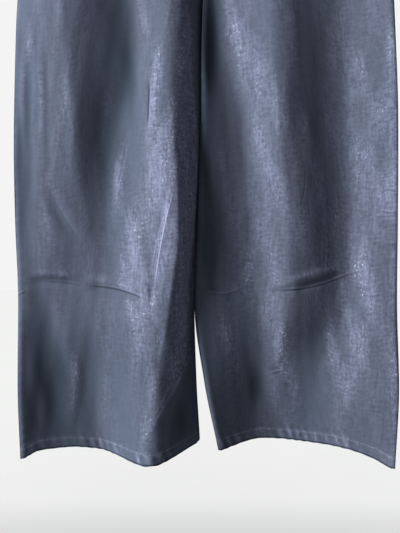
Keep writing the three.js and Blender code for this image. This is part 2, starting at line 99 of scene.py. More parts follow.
LEFT_FRONT = [
    (
        "inseam",
        [0, 0, 0, 0, -3.5, -5.5, -11.5, -14.5, 0.5, 21],
        [22, 23, 24, 0, 2, 4, 10, 18, 20, 14],
    ),
    (
        "inner trough",
        [30, 30, 29, 25, 28, 57, 66, 78, 92, 98],
        [21.5, 22.5, 24, 8, -5, -3, 3, 4, -14, -23],
    ),
    (
        "inner ridge",
        [75, 76, 86, 96, 106, 110, 125, 126, 118, 126],
        [20, 22, 30, 34, 38, 39, 39, 29, -8, -23],
    ),
    (
        "outer trough",
        [125, 128, 160, 188, 208, 212, 219, 211, 172, 170],
        [17, 18, 18, 14, 9, 7, 9, 10, -3, -12],
    ),
    (
        "outer ridge",
        [165, 168, 219, 246, 252, 254, 253, 252, 248, 240],
        [12, 13, 16, 24, 28, 30, 32, 35, 36, 26],
    ),
    (
        "outseam",
        [195, 199, 250, 275, 278, 281, 280, 278.5, 280.5, 275],
        [0, 0, 8, 28, 38, 41, 42, 43, 45, 44],
    ),
]
# Lines down each leg's back: share of the way from outseam to inseam, depth behind the middle plane
RIGHT_BACK = [
    (0.2, [15, 18, 27, 28, 28, 27, 27, 28, 32, 35]),
    (0.46, [20, 22, 25, 20, 14, 14, 14, 16, 22, 27]),
    (0.76, [22, 24, 32, 34, 31, 30, 30, 31, 35, 40]),
]
LEFT_BACK = [
    (0.22, [15, 18, 28, 30, 29, 28, 29, 31, 36, 40]),
    (0.5, [20, 22, 25, 20, 14, 13, 13, 16, 25, 34]),
    (0.78, [22, 24, 32, 34, 32, 30, 28, 28, 33, 39]),
]
BACK_CENTRE = (22, 27)
HEM_DROP_AT = [0, 0.04, 0.1, 0.25, 0.5, 0.75, 1]
HEM_DROP = {"right": [7, 2, -4, -4, 3, 2, -8], "left": [7, 4, -2, -9, -10, -13, -8]}

# Creases listed for each leg's faces: start x and z, end x and z, bow sideways, height (below 0 a
# trough), width. The backs have the same habit of folds where the photo does not reach.
CREASES = {
    ("right", "front"): [
        # knee crease in two parts, with its upper lip
        (-262, -772, -176, -781, 2, -2.6, 6),
        (-262, -762, -176, -770, 2, 1.3, 7),
        (-182, -780, -84, -804, 3, -2.8, 6),
        (-172, -769, -92, -790, 3, 1.4, 7),
        # slanting pull above it, upright pleats beside the side seam, sharp folds
        (-236, -630, -176, -724, -6, -1.8, 9),
        (-225, -622, -170, -706, -6, 1.1, 9),
        (-272, -395, -268, -640, 2, 1.0, 6),
        (-257, -420, -256, -610, -3, -1.1, 6),
        (-243, -400, -240, -590, 3, 1.1, 6),
        (-230, -430, -226, -640, -2, -0.9, 6),
        (-43, -610, -72, -770, 4, 1.4, 5),
        (-76, -770, -77, -815, 0, -1.8, 4),
        (-83, -462, -84, -556, 1, -1.6, 3.5),
        (-18, -876, -82, -1000, 0, 1.8, 6),
        (-196, -860, -210, -1010, 5, 1.2, 12),
        (-122, -560, -150, -760, 5, 1.0, 10),
        (-150, -870, -120, -1000, 4, -1.0, 10),
        # drag lines from the fork, above the photo
        (-10, -268, -120, -232, 8, -1.8, 11),
        (-8, -284, -95, -300, -6, -1.8, 10),
    ],
    ("left", "front"): [
        # knee crease from the inseam, and the sharp one towards the side
        (2, -776, 62, -796, -4, -1.6, 7),
        (16, -795, 64, -783, -2, 1.4, 6),
        (98, -790, 136, -788, 1, -2.6, 4.5),
        (130, -789, 226, -760, 2, -3.2, 5),
        (104, -779, 224, -751, 2, 1.7, 6),
        # short pulls at the hem's side and at the side seam, long soft folds
        (100, -916, 122, -908, 1, -1.6, 5),
        (252, -690, 291, -702, 2, -1.2, 5),
        (250, -720, 291, -728, -2, -1.4, 5),
        (256, -748, 290, -752, 2, -1.2, 5),
        (150, -500, 158, -640, 3, 0.9, 9),
        (60, -470, 66, -640, -3, -0.9, 8),
        (190, -830, 215, -990, 5, 1.0, 10),
        (120, -830, 100, -960, -5, 1.0, 9),
        # drag lines from the fork, above the photo
        (14, -266, 124, -236, 8, -1.8, 11),
        (10, -286, 98, -306, -6, -1.8, 10),
    ],
    ("right", "back"): [
        (-250, -765, -120, -792, 4, -2.6, 7),
        (-120, -786, -50, -776, -2, -1.8, 7),
        (-240, -755, -130, -780, 4, 1.3, 8),
        (-60, -330, -170, -365, -8, -2.0, 12),
        (-40, -300, -120, -300, 6, -2.4, 11),
        (-90, -420, -98, -640, 6, 1.2, 12),
        (-215, -560, -205, -720, -5, -1.2, 10),
        (-150, -850, -160, -1010, 5, 1.3, 12),
    ],
    ("left", "back"): [
        (60, -772, 160, -792, 3, -2.4, 7),
        (150, -790, 250, -768, -3, -2.2, 6),
        (70, -762, 165, -781, 3, 1.2, 8),
        (50, -325, 165, -350, 8, -2.0, 12),
        (36, -298, 118, -306, -6, -2.2, 11),
        (95, -430, 108, -650, -6, 1.2, 12),
        (220, -540, 212, -700, 5, -1.1, 10),
        (140, -860, 150, -1010, -5, 1.2, 12),
    ],
}

# Sharp fold lines drawn in the material alone, as painted highlight and painted shade with a little bump:
# start x and z, end x and z, bow, strength (below 0 a painted shade line with painted highlight on its lip,
# above 0 a painted highlight line)
FOLD_LINES = {
    ("right", "front"): [
        (-240, -774, -176, -781, 1, -0.5),
        (-176, -781, -80, -800, 4, -1.1),
        (-41, -639, -73, -792, -3, 1.0),
        (-47, -655, -78, -770, -4, 0.4),
        (-83, -467, -84, -552, 1, -1.2),
        (-18, -876, -82, -992, 0, -0.35),
        (-232, -631, -177, -722, -4, -0.25),
        (-118, -560, -131, -640, 2, -0.4),
        (-279, -798, -262, -790, 1, -0.8),
    ],
    ("left", "front"): [
        (-2, -790, 70, -780, -9, -0.6),
        (98, -789, 239, -757, -8, -1.2),
        (104, -920, 127, -914, 1, -0.8),
        (150, -600, 139, -672, 3, -0.3),
        (262, -640, 279, -646, 1, -0.6),
        (258, -672, 279, -675, -1, -0.6),
        (264, -700, 279, -702, 1, -0.6),
    ],
    ("right", "back"): [
        (-250, -765, -120, -792, 4, -1.0),
    ],
    ("left", "back"): [
        (60, -772, 250, -768, -12, -1.0),
    ],
}


def ease(t):
    t = np.clip(t, 0, 1)
    return t * t * (3 - 2 * t)


def lerp(a, b, t):
    return a + (b - a) * t


def bell(distance, width):
    """1 on a line and fading away from it."""
    return np.exp(-((distance / width) ** 2))


def through(xs, ys, x):
    """A smooth curve through the knots (xs, ys), level at each peak and dip. Each may vary as x does."""
    x = np.asarray(x, float)
    xs = np.stack([np.broadcast_to(np.asarray(v, float), x.shape) for v in xs])
    ys = np.stack([np.broadcast_to(np.asarray(v, float), x.shape) for v in ys])
    h = np.diff(xs, axis=0)
    slope = np.diff(ys, axis=0) / h
    a, b = slope[:-1], slope[1:]
    turns = a * b <= 0
    inner = np.where(turns, 0, 2 * a * b / np.where(turns, 1, a + b))
    tangent = np.concatenate([slope[:1], inner, slope[-1:]])
    x = np.clip(x, xs[0], xs[-1])
    i = (x > xs[1:-1]).sum(axis=0)[None]

    def at(values, k):
        return np.take_along_axis(values, k, 0)[0]

    step = at(h, i)
    t = (x - at(xs, i)) / step
    rest = 1 - t
    return (
        at(ys, i) * (1 + 2 * t) * rest**2
        + at(tangent, i) * step * t * rest**2
        + at(ys, i + 1) * t**2 * (3 - 2 * t)
        - at(tangent, i + 1) * step * t**2 * rest
    )


FALLING = [-z for z in LEVELS]
EVERY_MM = np.arange(OUTSEAM + 1.0)


def at_level(values, z):
    """A table's value at the level z."""
    return np.interp(-np.asarray(z, float), EVERY_MM, through(FALLING, values, EVERY_MM))


def rise_curve(waist_depth, hip_depth, z):
    """Depth of the centre seam: a quarter of an ellipse from the hip down to the fork."""
    above_hip = lerp(waist_depth, hip_depth, ease(z / HIP))
    share = np.clip((HIP - z) / (HIP - FORK), 0, 1)
    below_hip = FORK_DEPTH + (hip_depth - FORK_DEPTH) * np.sqrt(1 - share * share)
    return np.where(z >= HIP, above_hip, below_hip)


def rounded(distance):
    inside = np.clip(1 - np.maximum(distance, 0) / EDGE_ROUND, 0, 1)
    return np.sqrt(1 - inside**2)


SINES = 7
SINES_PEAK = 2.6  # the usual peak of their sum


def wobble(x, z, seed, across, along, amount):
    """Slow uneven waves, a sum of a few fixed sines."""
    rng = np.random.default_rng(seed)
    total = np.zeros(np.broadcast(x, z).shape)
    for _ in range(SINES):
        kx = 2 * math.pi / across * rng.uniform(0.5, 1.7) * rng.choice([-1, 1])
        kz = 2 * math.pi / along * rng.uniform(0.4, 1.6)
        total += np.sin(kx * x + kz * z + rng.uniform(0, 6.28))
    return amount * total / SINES_PEAK


# The fly: the left front laps over the right one
FLY_END = -188
FLY_LAP = 7
FLY_CLOSED = 10
FLY_FADE = 24
FLY_LIFT = 2.4
FLY_FLAT = 12  # flat this far from the centre front


def fly_lift(x, z):
    across = 1 - ease((x - FLY_LAP - 1) / FLY_FADE)
    below = 1 - ease((FLY_END - FLY_CLOSED - z) / FLY_FADE)
    return FLY_LIFT * across * below


# Listed lines fade in over a share of their length and out over another
CREASE_START = 0.3
CREASE_END = 0.4
FOLD_START = 0.25
FOLD_END = 0.3
FOLD_REACH = 12.0

# The doubled hem: its step, the stitched groove, and the slanting twist of the cloth between
DROOP_REACH = 120
HEM_STEP = 0.7
HEM_GROOVE = 0.75
HEM_GROOVE_WIDTH = 1.6
ROPE_SLANT = 0.3
ROPE_PITCH = 13.5
ROPE_HEIGHT = 0.8
ROPE_WAVE = 0.5

# Low waves all over the cloth: length across, length along, height. They are calmer in one smooth trough
RIPPLES = [(95, 420, 0.8), (34, 190, 0.24)]
CALM_SHARE = 0.6
CALM_WIDTH = 40
CALM_HEIGHT = 200

# Beside each long seam: puckers, and the ridge of the allowance under the cloth
PUCKER_PITCH = 17
PUCKER_REACH = 9
PUCKER_HEIGHT = 0.28
ALLOWANCE_HEIGHT = 0.35
ALLOWANCE_AT = 6.5
ALLOWANCE_SPREAD = 3.5
INSEAM_SHARE = 0.7
FLAT_AT_SEAM = 2.5
FLAT_UNDER_BAND = 40

NO_WAVE = 1e6  # a wave length so long that the wobble runs one way only
SLOPE_STEP = 0.2  # either side of a point, to measure the surface's slope


def beside_line(x, z, start_x, start_z, end_x, end_z, bow):
    """The share of the way along a listed line, and the distance from it, positive on its upper side."""
    length = math.hypot(end_x - start_x, end_z - start_z)
    ux, uz = (end_x - start_x) / length, (end_z - start_z) / length
    share = ((x - start_x) * ux + (z - start_z) * uz) / length
    off = -(x - start_x) * uz + (z - start_z) * ux - bow * np.sin(math.pi * np.clip(share, 0, 1))
    return share, off


class Leg:
    """One leg's cloth as a function of x and z, with the front at -Y."""

    def __init__(self, name, front, back, side, seed, calm):
        self.name = name
        self.calm = calm  # the middle of a smooth trough
        self.front = front
        self.back = back
        self.side = side
        self.seed = seed
        self.out = next(row for row in front if row[0] == "outseam")
        self.inner = next(row for row in front if row[0] == "inseam")

    def out_x(self, z):
        return at_level(self.out[1], z)

    def inner_x(self, z):
        above = z >= FORK
        return np.where(above, 0, at_level(self.inner[1], z)) + self.side * np.where(above, SEAM_GAP, GAP) / 2

    def front_edge(self, z):
        """The inner edge of the front, with the lap of the fly."""
        if self.side < 0:
            return self.inner_x(z)
        closed = ease((FLY_END - z) / FLY_CLOSED)
        return np.where(z > FORK, lerp(-FLY_LAP, GAP / 2, closed), self.inner_x(z))

    def out_seam_y(self, z):
        return -at_level(self.out[2], z)

    def inner_seam_y(self, z):
        return -at_level(self.inner[2], z)

    def edge_draw(self, x, z):
        draw = EDGE_DEPTH * (1 - rounded(abs(x - self.out_x(z))))
        inner = EDGE_DEPTH * (1 - rounded(abs(x - self.inner_x(z))))
        return draw + np.where(z < FORK, inner, 0)

    def front_y(self, x, z):
        above = z >= FORK
        xs, depths = [], []
        for name, line_x, line_depth in self.front:
            place, depth = at_level(line_x, z), at_level(line_depth, z)
            if name == "outseam":
                depth = depth + EDGE_DEPTH
            if name == "inseam":
                place = np.where(above, 0, place)
                depth = np.where(above, rise_curve(*line_depth[:2], z), depth + EDGE_DEPTH)
            xs.append(place)
            depths.append(depth)
        return -(through(xs, depths, x) - self.edge_draw(x, z))

    def back_y(self, x, z):
        above = z >= FORK
        out = self.out_x(z)
        inner = np.where(above, 0, self.inner_x(z))
        end = np.where(above, rise_curve(*BACK_CENTRE, z), EDGE_DEPTH + self.inner_seam_y(z))
        rows = [(out, EDGE_DEPTH + self.out_seam_y(z))]
        rows += [(lerp(out, inner, share), at_level(depth, z)) for share, depth in self.back]
        rows += [(inner, end)]
        if self.side > 0:
            rows.reverse()
        return through([r[0] for r in rows], [r[1] for r in rows], x) - self.edge_draw(x, z)

    def surface(self, face, x, z):
        return self.front_y(x, z) if face == "front" else self.back_y(x, z)

    def hem_fall(self, x, z):
        """How far the hem's droop lowers a point."""
        out, inner = self.out_x(-OUTSEAM), self.inner_x(-OUTSEAM)
        share = np.clip((x - out) / (inner - out), 0, 1)
        near_hem = ease((-z - (OUTSEAM - DROOP_REACH)) / DROOP_REACH)
        return through(HEM_DROP_AT, HEM_DROP[self.name], share) * near_hem

    def creases(self, face, x, z):
        total = np.zeros(np.broadcast(x, z).shape)
        for *line, height, width in CREASES[self.name, face]:
            share, off = beside_line(x, z, *line)
            fade = ease(share / CREASE_START) * ease((1 - share) / CREASE_END)
            total += height * fade * bell(off, width)
        return total

    def fold_lines(self, face, x, z):
        """Distance to the nearest sharp fold line, above it positive, and how strong it is there."""
        nearest = np.full(np.broadcast(x, z).shape, FOLD_REACH)
        strength = np.zeros_like(nearest)
        for *line, amount in FOLD_LINES[self.name, face]:
            share, off = beside_line(x, z, *line)
            fade = ease(share / FOLD_START) * ease((1 - share) / FOLD_END) * (1 - ease(abs(off) / FOLD_REACH))
            closer = (fade > 0) & (abs(off) < abs(nearest))
            nearest = np.where(closer, off, nearest)
            strength = np.where(closer, fade * amount, strength)
        return nearest, strength

    def rope(self, x, above_edge):
        """The slanting twist of the doubled hem."""
        phase = wobble(x, 0 * x, self.seed, 90, NO_WAVE, 1.4)
        strength = np.clip(0.55 + wobble(x, 0 * x, self.seed + 1, 150, NO_WAVE, 0.45), 0.15, 1)
        return strength * np.sin((x + above_edge * ROPE_SLANT) * 2 * math.pi / ROPE_PITCH + phase)

    def hem_relief(self, x, above_edge):
        """The doubled hem: its thickness, the stitched groove and the twisted puckers round it."""
        doubled = HEM_STEP * (1 - ease((above_edge - HEM_STITCHED) / 5))
        groove = -HEM_GROOVE * bell(above_edge - HEM_STITCHED, HEM_GROOVE_WIDTH)
        inside = bell(above_edge - 7.5, 6.5)
        over = 0.35 * bell(above_edge - 20, 6)
        return doubled + groove + ROPE_HEIGHT * self.rope(x, above_edge) * (inside + over)

    def relief(self, face, x, z):
        """Height of creases, puckers and seam allowances over the plain form, at z before the droop."""
        seed = self.seed + (11 if face == "front" else 23)
        body = self.creases(face, x, z - self.hem_fall(x, z))
        calm_x, calm_z = self.calm
        calm = np.exp(-(((x - calm_x) / CALM_WIDTH) ** 2) - ((z - calm_z) / CALM_HEIGHT) ** 2)
        for step, (across, along, height) in enumerate(RIPPLES):
            body += wobble(x, z, seed + step, across, along, height) * (1 - CALM_SHARE * calm)
        body += self.hem_relief(x, z + OUTSEAM)
        from_out = abs(x - self.out_x(z))
        from_in = abs(x - self.inner_x(z))
        for distance, share in ((from_out, 1.0), (from_in, INSEAM_SHARE)):
            wave = wobble(z, 0 * z, seed + 2, 120, NO_WAVE, 1.6)
            pucker = np.sin(-z * 2 * math.pi / PUCKER_PITCH + wave) * bell(distance, PUCKER_REACH)
            body += share * PUCKER_HEIGHT * pucker * ease(distance / 2)
            body += share * ALLOWANCE_HEIGHT * bell(distance - ALLOWANCE_AT, ALLOWANCE_SPREAD)
        fade = ease(from_out / FLAT_AT_SEAM) * np.where(z < FORK, ease(from_in / FLAT_AT_SEAM), 1)
        fade = fade * ease((TOP + 8 - z) / FLAT_UNDER_BAND)
        if face == "front":
            fade = fade * np.where(z > FLY_END - 40, ease((abs(x) - FLY_FLAT) / 30), 1)
        return body * fade

    def skin(self, face, x, z, lift=0.0, outward=False):
        """Points on the cloth, moved out by lift. With outward true the unit normals come too."""
        x, z = np.broadcast_arrays(np.asarray(x, float), np.asarray(z, float))
        away = -1 if face == "front" else 1
        out = self.out_x(z)
        far = np.where(z < FORK, self.inner_x(z), -1000 * self.side)
        left = np.maximum(x - SLOPE_STEP, np.minimum(out, far))
        right = np.minimum(x + SLOPE_STEP, np.maximum(out, far))
        slope = (self.surface(face, right, z) - self.surface(face, left, z)) / (right - left)
        size = np.sqrt(1 + slope**2)
        nx, ny = -slope / size * away, away / size
        height = self.relief(face, x, z) + lift
        if face == "front" and self.side > 0:
            height = height + fly_lift(x, z)
        y = self.surface(face, x, z) + away * GAP / 2
        above_edge = z + OUTSEAM
        wave = ROPE_WAVE * self.rope(x, 0 * x) * (1 - ease(above_edge / HEM_HEIGHT))
        points = np.stack([x + nx * height, y + ny * height, z - self.hem_fall(x, z) + wave], -1)
        if outward:
            return points, np.stack([nx, ny, np.zeros_like(nx)], -1)
        return points


RIGHT = Leg("right", RIGHT_FRONT, RIGHT_BACK, -1, 3, (-150, -450))
LEFT = Leg("left", LEFT_FRONT, LEFT_BACK, 1, 8, (175, -520))
LEGS = (RIGHT, LEFT)


# Meshes from grids of points


def lengths(points, axis):
    step = np.linalg.norm(np.diff(points, axis=axis), axis=2)
    total = np.cumsum(step, axis=axis)
    pad = [(1, 0), (0, 0)] if axis == 0 else [(0, 0), (1, 0)]
    return np.pad(total, pad)


def shell(name, outer, inner, material, ring=False, uv_shift=(0, 0), painted=None):
    """A closed wall between two grids of points, with thread lines as UV map and what is painted on it."""
    rows, cols = outer.shape[:2]
    points = np.concatenate([outer.reshape(-1, 3), inner.reshape(-1, 3)]) * MM
    index = np.arange(rows * cols).reshape(rows, cols)
    if ring:
        index = np.concatenate([index, index[:, :1]], axis=1)
    lift = rows * cols
    a, b, c, d = index[:-1, :-1], index[1:, :-1], index[1:, 1:], index[:-1, 1:]
    out_faces = np.stack([a, b, c, d], -1).reshape(-1, 4)
    in_faces = out_faces[:, ::-1] + lift
    top = np.stack([index[0, :-1], index[0, 1:], index[0, 1:] + lift, index[0, :-1] + lift], -1)
    low = np.stack([index[-1, 1:], index[-1, :-1], index[-1, :-1] + lift, index[-1, 1:] + lift], -1)
    faces = [out_faces, in_faces, top, low]
    if not ring:
        first, last = index[:, 0], index[:, -1]
        faces.append(np.stack([first[1:], first[:-1], first[:-1] + lift, first[1:] + lift], -1))
        faces.append(np.stack([last[:-1], last[1:], last[1:] + lift, last[:-1] + lift], -1))
    faces = np.concatenate(faces)
    corner = points[faces]
    volume = np.einsum("ij,ij->i", corner[:, 0], np.cross(corner[:, 1], corner[:, 2])).sum()
    volume += np.einsum("ij,ij->i", corner[:, 0], np.cross(corner[:, 2], corner[:, 3])).sum()
    if volume < 0:
        faces = faces[:, ::-1]
    mesh = bpy.data.meshes.new(name)
    mesh.from_pydata(points.tolist(), [], faces.tolist())
    uv = np.stack([lengths(outer, 1) * MM + uv_shift[0], lengths(outer, 0) * MM + uv_shift[1]], -1)
    uv = np.tile(uv.reshape(-1, 2), (2, 1))
    layer = mesh.uv_layers.new(name="cloth")
    layer.data.foreach_set("uv", uv[faces.reshape(-1)].reshape(-1).astype(np.float32))
    for label, values in (painted or {}).items():
        layer = mesh.attributes.new(label, "FLOAT", "POINT")
        layer.data.foreach_set("value", np.tile(values.reshape(-1), 2).astype(np.float32))
    return finished(name, mesh, material)


def finished(name, mesh, material, smooth_angle=50):
    mesh.polygons.foreach_set("use_smooth", [True] * len(mesh.polygons))
    mesh.set_sharp_from_angle(angle=math.radians(smooth_angle))
    mesh.materials.append(material)
    piece = bpy.data.objects.new(name, mesh)
    bpy.context.collection.objects.link(piece)
    return piece


def part(piece, slot, *nodes):
    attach(piece, "root")
    if nodes:
        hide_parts(*nodes)
    return piece


# Materials


def wire(tree, socket, value):
    if isinstance(value, bpy.types.NodeSocket):
        tree.links.new(value, socket)
    else:
        socket.default_value = value


def add_node(tree, kind, inputs, **settings):
    """A new node with its settings, and its inputs wired by value, colour or socket."""
    node = tree.nodes.new(kind)
    for key, value in settings.items():
        setattr(node, key, value)
    for key, value in inputs.items():
        wire(tree, node.inputs[key], value)
    return node


class Nodes:
    """A material and the nodes that make its surface."""

    def __init__(self, name):
        self.material = bpy.data.materials.new(name)
        self.material.use_nodes = True
        self.tree = self.material.node_tree
        self.shader = self.tree.nodes["Principled BSDF"]

    def add(self, kind, inputs=None, **settings):
        return add_node(self.tree, kind, inputs or {}, **settings)

    def surface(self, **values):
        for name, value in values.items():
            wire(self.tree, self.shader.inputs[name.replace("_", " ")], value)

    def noise(self, where, scale, detail=2.0, rough=0.5):
        mapping = self.add("ShaderNodeMapping", {"Vector": where, "Scale": scale})
        made = self.add(
            "ShaderNodeTexNoise",
            {"Vector": mapping.outputs[0], "Scale": 1.0, "Detail": detail, "Roughness": rough},
        )
        return made.outputs["Fac"]

    def band(self, value, low, high, to_low=0.0, to_high=1.0):
        made = self.add(
            "ShaderNodeMapRange",
            {"Value": value, "From Min": low, "From Max": high, "To Min": to_low, "To Max": to_high},
            interpolation_type="SMOOTHSTEP",
        )
        return made.outputs["Result"]

    def math(self, operation, a, b=0.0):
        made = self.add("ShaderNodeMath", {0: a, 1: b}, operation=operation)
        return made.outputs[0]

    def times(self, *values):
        total = values[0]
        for value in values[1:]:
            total = self.math("MULTIPLY", total, value)
        return total

    def mix(self, share, a, b, blend="MIX"):
        made = self.add("ShaderNodeMix", {0: share, 6: a, 7: b}, data_type="RGBA", blend_type=blend)
        return made.outputs[2]

    def bump(self, height, strength, distance):
        made = self.add("ShaderNodeBump", {"Strength": strength, "Distance": distance, "Height": height})
        wire(self.tree, self.shader.inputs["Normal"], made.outputs[0])


# Tints of the dye, and of painted highlight and painted shade: linear red, and green and blue in proportion
# to it
PLAIN_BLUE = (0.035, 1.15, 1.66)
TEAL_BLUE = (0.030, 1.30, 1.86)
RUBBED_AND_HIGHLIGHT_BLUE = (0.064, 1.12, 1.66)
FLECK_AND_GLINT_BLUE = (0.24, 1.10, 1.42)
FOLD_PAINTED_HIGHLIGHT = (0.17, 1.10, 1.60)
LIP_PAINTED_HIGHLIGHT = (0.10, 1.12, 1.75)
FOLD_PAINTED_SHADE = (0.010, 1.13, 1.68)
FUZZ_BLUE = (0.5, 1.1, 1.8)
THREAD_DARK = (0.05, 1.1, 1.55)
THREAD_PALE = (0.10, 1.1, 1.5)
TAPE_DARK = (0.018, 1.13, 1.68)
TAPE_PALE = (0.034, 1.13, 1.68)


def indigo(tint, tone=1.0):
    red, green, blue = tint
    return (red * tone, red * tone * green, red * tone * blue, 1)


def denim(name, tone=1.0, seed=0.0, plain=False):
    """Washed denim: teal clouds, a grain of warp and weft that shows where it is rubbed, and light flecks,
    partly painted glints. Its attribute also paints light and shade: lighter where rubbed and as painted
    highlight, darker as painted shade with a teal cast, and painted highlight and painted shade along the
    sharp fold lines.
    """
    n = Nodes(name)
    uv = n.add("ShaderNodeUVMap", uv_map="cloth").outputs[0]
    cloth = n.add("ShaderNodeMapping", {"Vector": uv, "Location": (seed, seed * 0.7, seed)}).outputs[0]
    place = n.add("ShaderNodeTexCoord").outputs["Object"]
    wear_and_painted_light = 0.25 if plain else n.add("ShaderNodeAttribute", attribute_name="wear_and_painted_light").outputs["Fac"]
    slub = n.noise(cloth, (240, 45, 1), 2.0, 0.5)
    weft = n.noise(cloth, (70, 260, 1), 2.0, 0.5)
    grain = n.noise(cloth, (230, 190, 1), 3.0, 0.6)
    streak = n.noise(cloth, (90, 9, 1), 3.0, 0.55)
    fleck = n.noise(cloth, (310, 200, 1), 3.0, 0.65)
    patch = n.noise(cloth, (36, 10, 1), 2.0, 0.5)
    cloud = n.noise(place, (11, 11, 6), 3.0, 0.55)
    # Teal at random in clouds, and a teal cast in the painted shade where the attribute is low
    teal = n.math("ADD", n.band(cloud, 0.40, 0.66, 0.0, 0.5), n.band(wear_and_painted_light, -0.6, 0.3, 0.8, 0.0))
    colour = n.mix(teal, indigo(PLAIN_BLUE, tone), indigo(TEAL_BLUE, tone))
    # Lighter where rubbed, and as painted highlight where the attribute runs high
    colour = n.mix(n.band(wear_and_painted_light, 0.1, 1.1, 0.0, 0.75), colour, indigo(RUBBED_AND_HIGHLIGHT_BLUE, tone))
    weave = n.math("ADD", n.times(slub, 0.30), n.times(weft, 0.25))
    weave = n.math("ADD", n.math("ADD", weave, n.times(grain, 0.30)), n.times(streak, 0.15))
    swing = n.math("MULTIPLY", n.band(weave, 0.36, 0.64, -1.0, 1.0), n.band(wear_and_painted_light, -0.3, 0.9, 0.05, 0.36))
    # Painted shade: darker where the attribute falls below 0
    painted_shade_dim = n.band(wear_and_painted_light, -1.0, 0.0, 0.35, 1.0)
    colour = n.mix(1.0, colour, n.times(n.math("ADD", swing, 1.0), painted_shade_dim), "MULTIPLY")
    # Light flecks where rubbed or painted lit: partly neps, partly painted glints
    flecked = n.band(wear_and_painted_light, 0.2, 1.0, 0.0, 0.62)
    flecks_and_glints = n.times(n.band(fleck, 0.54, 0.72), n.band(patch, 0.42, 0.60), flecked)
    colour = n.mix(flecks_and_glints, colour, indigo(FLECK_AND_GLINT_BLUE, tone))
    height = weave
    if not plain:
        fold = n.add("ShaderNodeAttribute", attribute_name="fold").outputs["Fac"]
        sharp = n.add("ShaderNodeAttribute", attribute_name="sharp").outputs["Fac"]
        # Painted highlight along light fold lines and on the lips of dark ones, painted shade along dark fold
        # lines
        line = n.band(n.math("ABSOLUTE", fold), 0.4, 1.9, 1.0, 0.0)
        lip = n.band(n.math("ABSOLUTE", n.math("SUBTRACT", fold, 3.0)), 0.5, 2.6, 1.0, 0.0)
        sunk = n.math("MAXIMUM", n.math("MULTIPLY", sharp, -1.0), 0.0)
        light = n.times(line, n.math("MAXIMUM", sharp, 0.0))
        painted_shade = n.times(line, sunk)
        painted_lip_highlight = n.times(lip, sunk)
        colour = n.mix(n.times(light, 0.4), colour, indigo(FOLD_PAINTED_HIGHLIGHT, tone))
        colour = n.mix(n.times(painted_lip_highlight, 0.2), colour, indigo(LIP_PAINTED_HIGHLIGHT, tone))
        colour = n.mix(n.times(painted_shade, 0.6), colour, indigo(FOLD_PAINTED_SHADE, tone))
        height = n.math("ADD", weave, n.math("SUBTRACT", n.math("ADD", light, n.times(painted_lip_highlight, 0.6)), painted_shade))
    n.surface(
        Base_Color=colour,
        Roughness=n.band(slub, 0.3, 0.7, 0.70, 0.55),
        Specular_IOR_Level=0.0,
        Sheen_Weight=0.03,
        Sheen_Roughness=0.5,
        Sheen_Tint=indigo(FUZZ_BLUE),
    )
    n.bump(height, n.band(wear_and_painted_light, -0.3, 0.9, 0.15, 0.6), 0.0012)
    return n.material


def thread_material():
    n = Nodes("tonal thread")
    place = n.add("ShaderNodeTexCoord").outputs["Object"]
    twist = n.noise(place, (2600, 2600, 2600), 1.0)
    n.surface(
        Base_Color=n.mix(n.band(twist, 0.3, 0.7), indigo(THREAD_DARK), indigo(THREAD_PALE)),
        Roughness=n.band(twist, 0.3, 0.7, 0.45, 0.62),
        Sheen_Weight=0.1,
    )
    return n.material


def metal_material():
    n = Nodes("aged button metal")
    place = n.add("ShaderNodeTexCoord").outputs["Object"]
    wear = n.noise(place, (900, 900, 900), 4.0, 0.6)
    n.surface(
        Base_Color=n.mix(wear, (0.16, 0.15, 0.14, 1), (0.38, 0.36, 0.33, 1)),
        Roughness=n.band(wear, 0.3, 0.7, 0.5, 0.28),
        Metallic=1.0,
    )
    n.bump(wear, 0.2, 0.0002)
    return n.material


def tape_material():
    n = Nodes("zip tape")
    uv = n.add("ShaderNodeUVMap", uv_map="cloth").outputs[0]
    rib = n.noise(uv, (1500, 300, 1), 2.0)
    n.surface(Base_Color=n.mix(n.band(rib, 0.3, 0.7), indigo(TAPE_DARK), indigo(TAPE_PALE)), Roughness=0.75)
    n.bump(rib, 0.4, 0.0003)
    return n.material


DENIM = {
    "right": denim("indigo denim, right leg", 1.0, 0.0),
    "left": denim("indigo denim, left leg", 0.98, 3.1),
}
DENIM_TOP = denim("indigo denim, waist and patches", 0.97, 5.3, plain=True)
DENIM_INSIDE = denim("indigo denim, wrong side", 1.7, 7.7, plain=True)
THREAD = thread_material()
METAL = metal_material()
TAPE_CLOTH = tape_material()


# Rows and columns of the panels
EDGE_STEPS = np.array([0, 0.2, 0.6, 1.2, 2.1, 3.3, 4.9, 6.8])


def columns(width, count):
    """Shares of a width from outseam to inner edge, closer together on the rounded edges."""
    width = np.atleast_1d(width)[:, None]
    inside = lerp(EDGE_ROUND, width - EDGE_ROUND, np.linspace(0, 1, count)[None])
    ones = np.ones_like(width)
    return np.concatenate([ones * EDGE_STEPS, inside, width - EDGE_STEPS[::-1]], axis=1) / width


def levels(stops, steps):
    """Row levels down through the stops, at about one step apart in each stretch."""
    rows = [stops[0]]
    for high, low, step in zip(stops, stops[1:], steps):
        count = max(2, int(round((high - low) / step)))
        rows += list(np.linspace(high, low, count + 1)[1:])
    return np.array(rows)


def panel_grid(leg, rows, count, inner_edge, top_edge, straight_from):
    """x and z of a panel's points. Its rows start along top_edge and run level from straight_from down."""
    shares = columns(abs(leg.out_x(rows) - inner_edge(rows)), count)
    pull = np.clip((rows - straight_from) / (rows[0] - straight_from), 0, 1)[:, None]
    z = rows[:, None] + (top_edge(shares[0]) - rows[0])[None] * pull
    return lerp(leg.out_x(z), inner_edge(z), shares), z


# The front pocket's scoop, and the yoke's seam
SCOOP_WIDTH = 86
SCOOP_DEPTH = 82
YOKE_SIDE = -80
YOKE_CENTRE = -104
YOKE_LAP = 0.7
YOKE_ALLOWANCE = 9
HALVINGS = 30


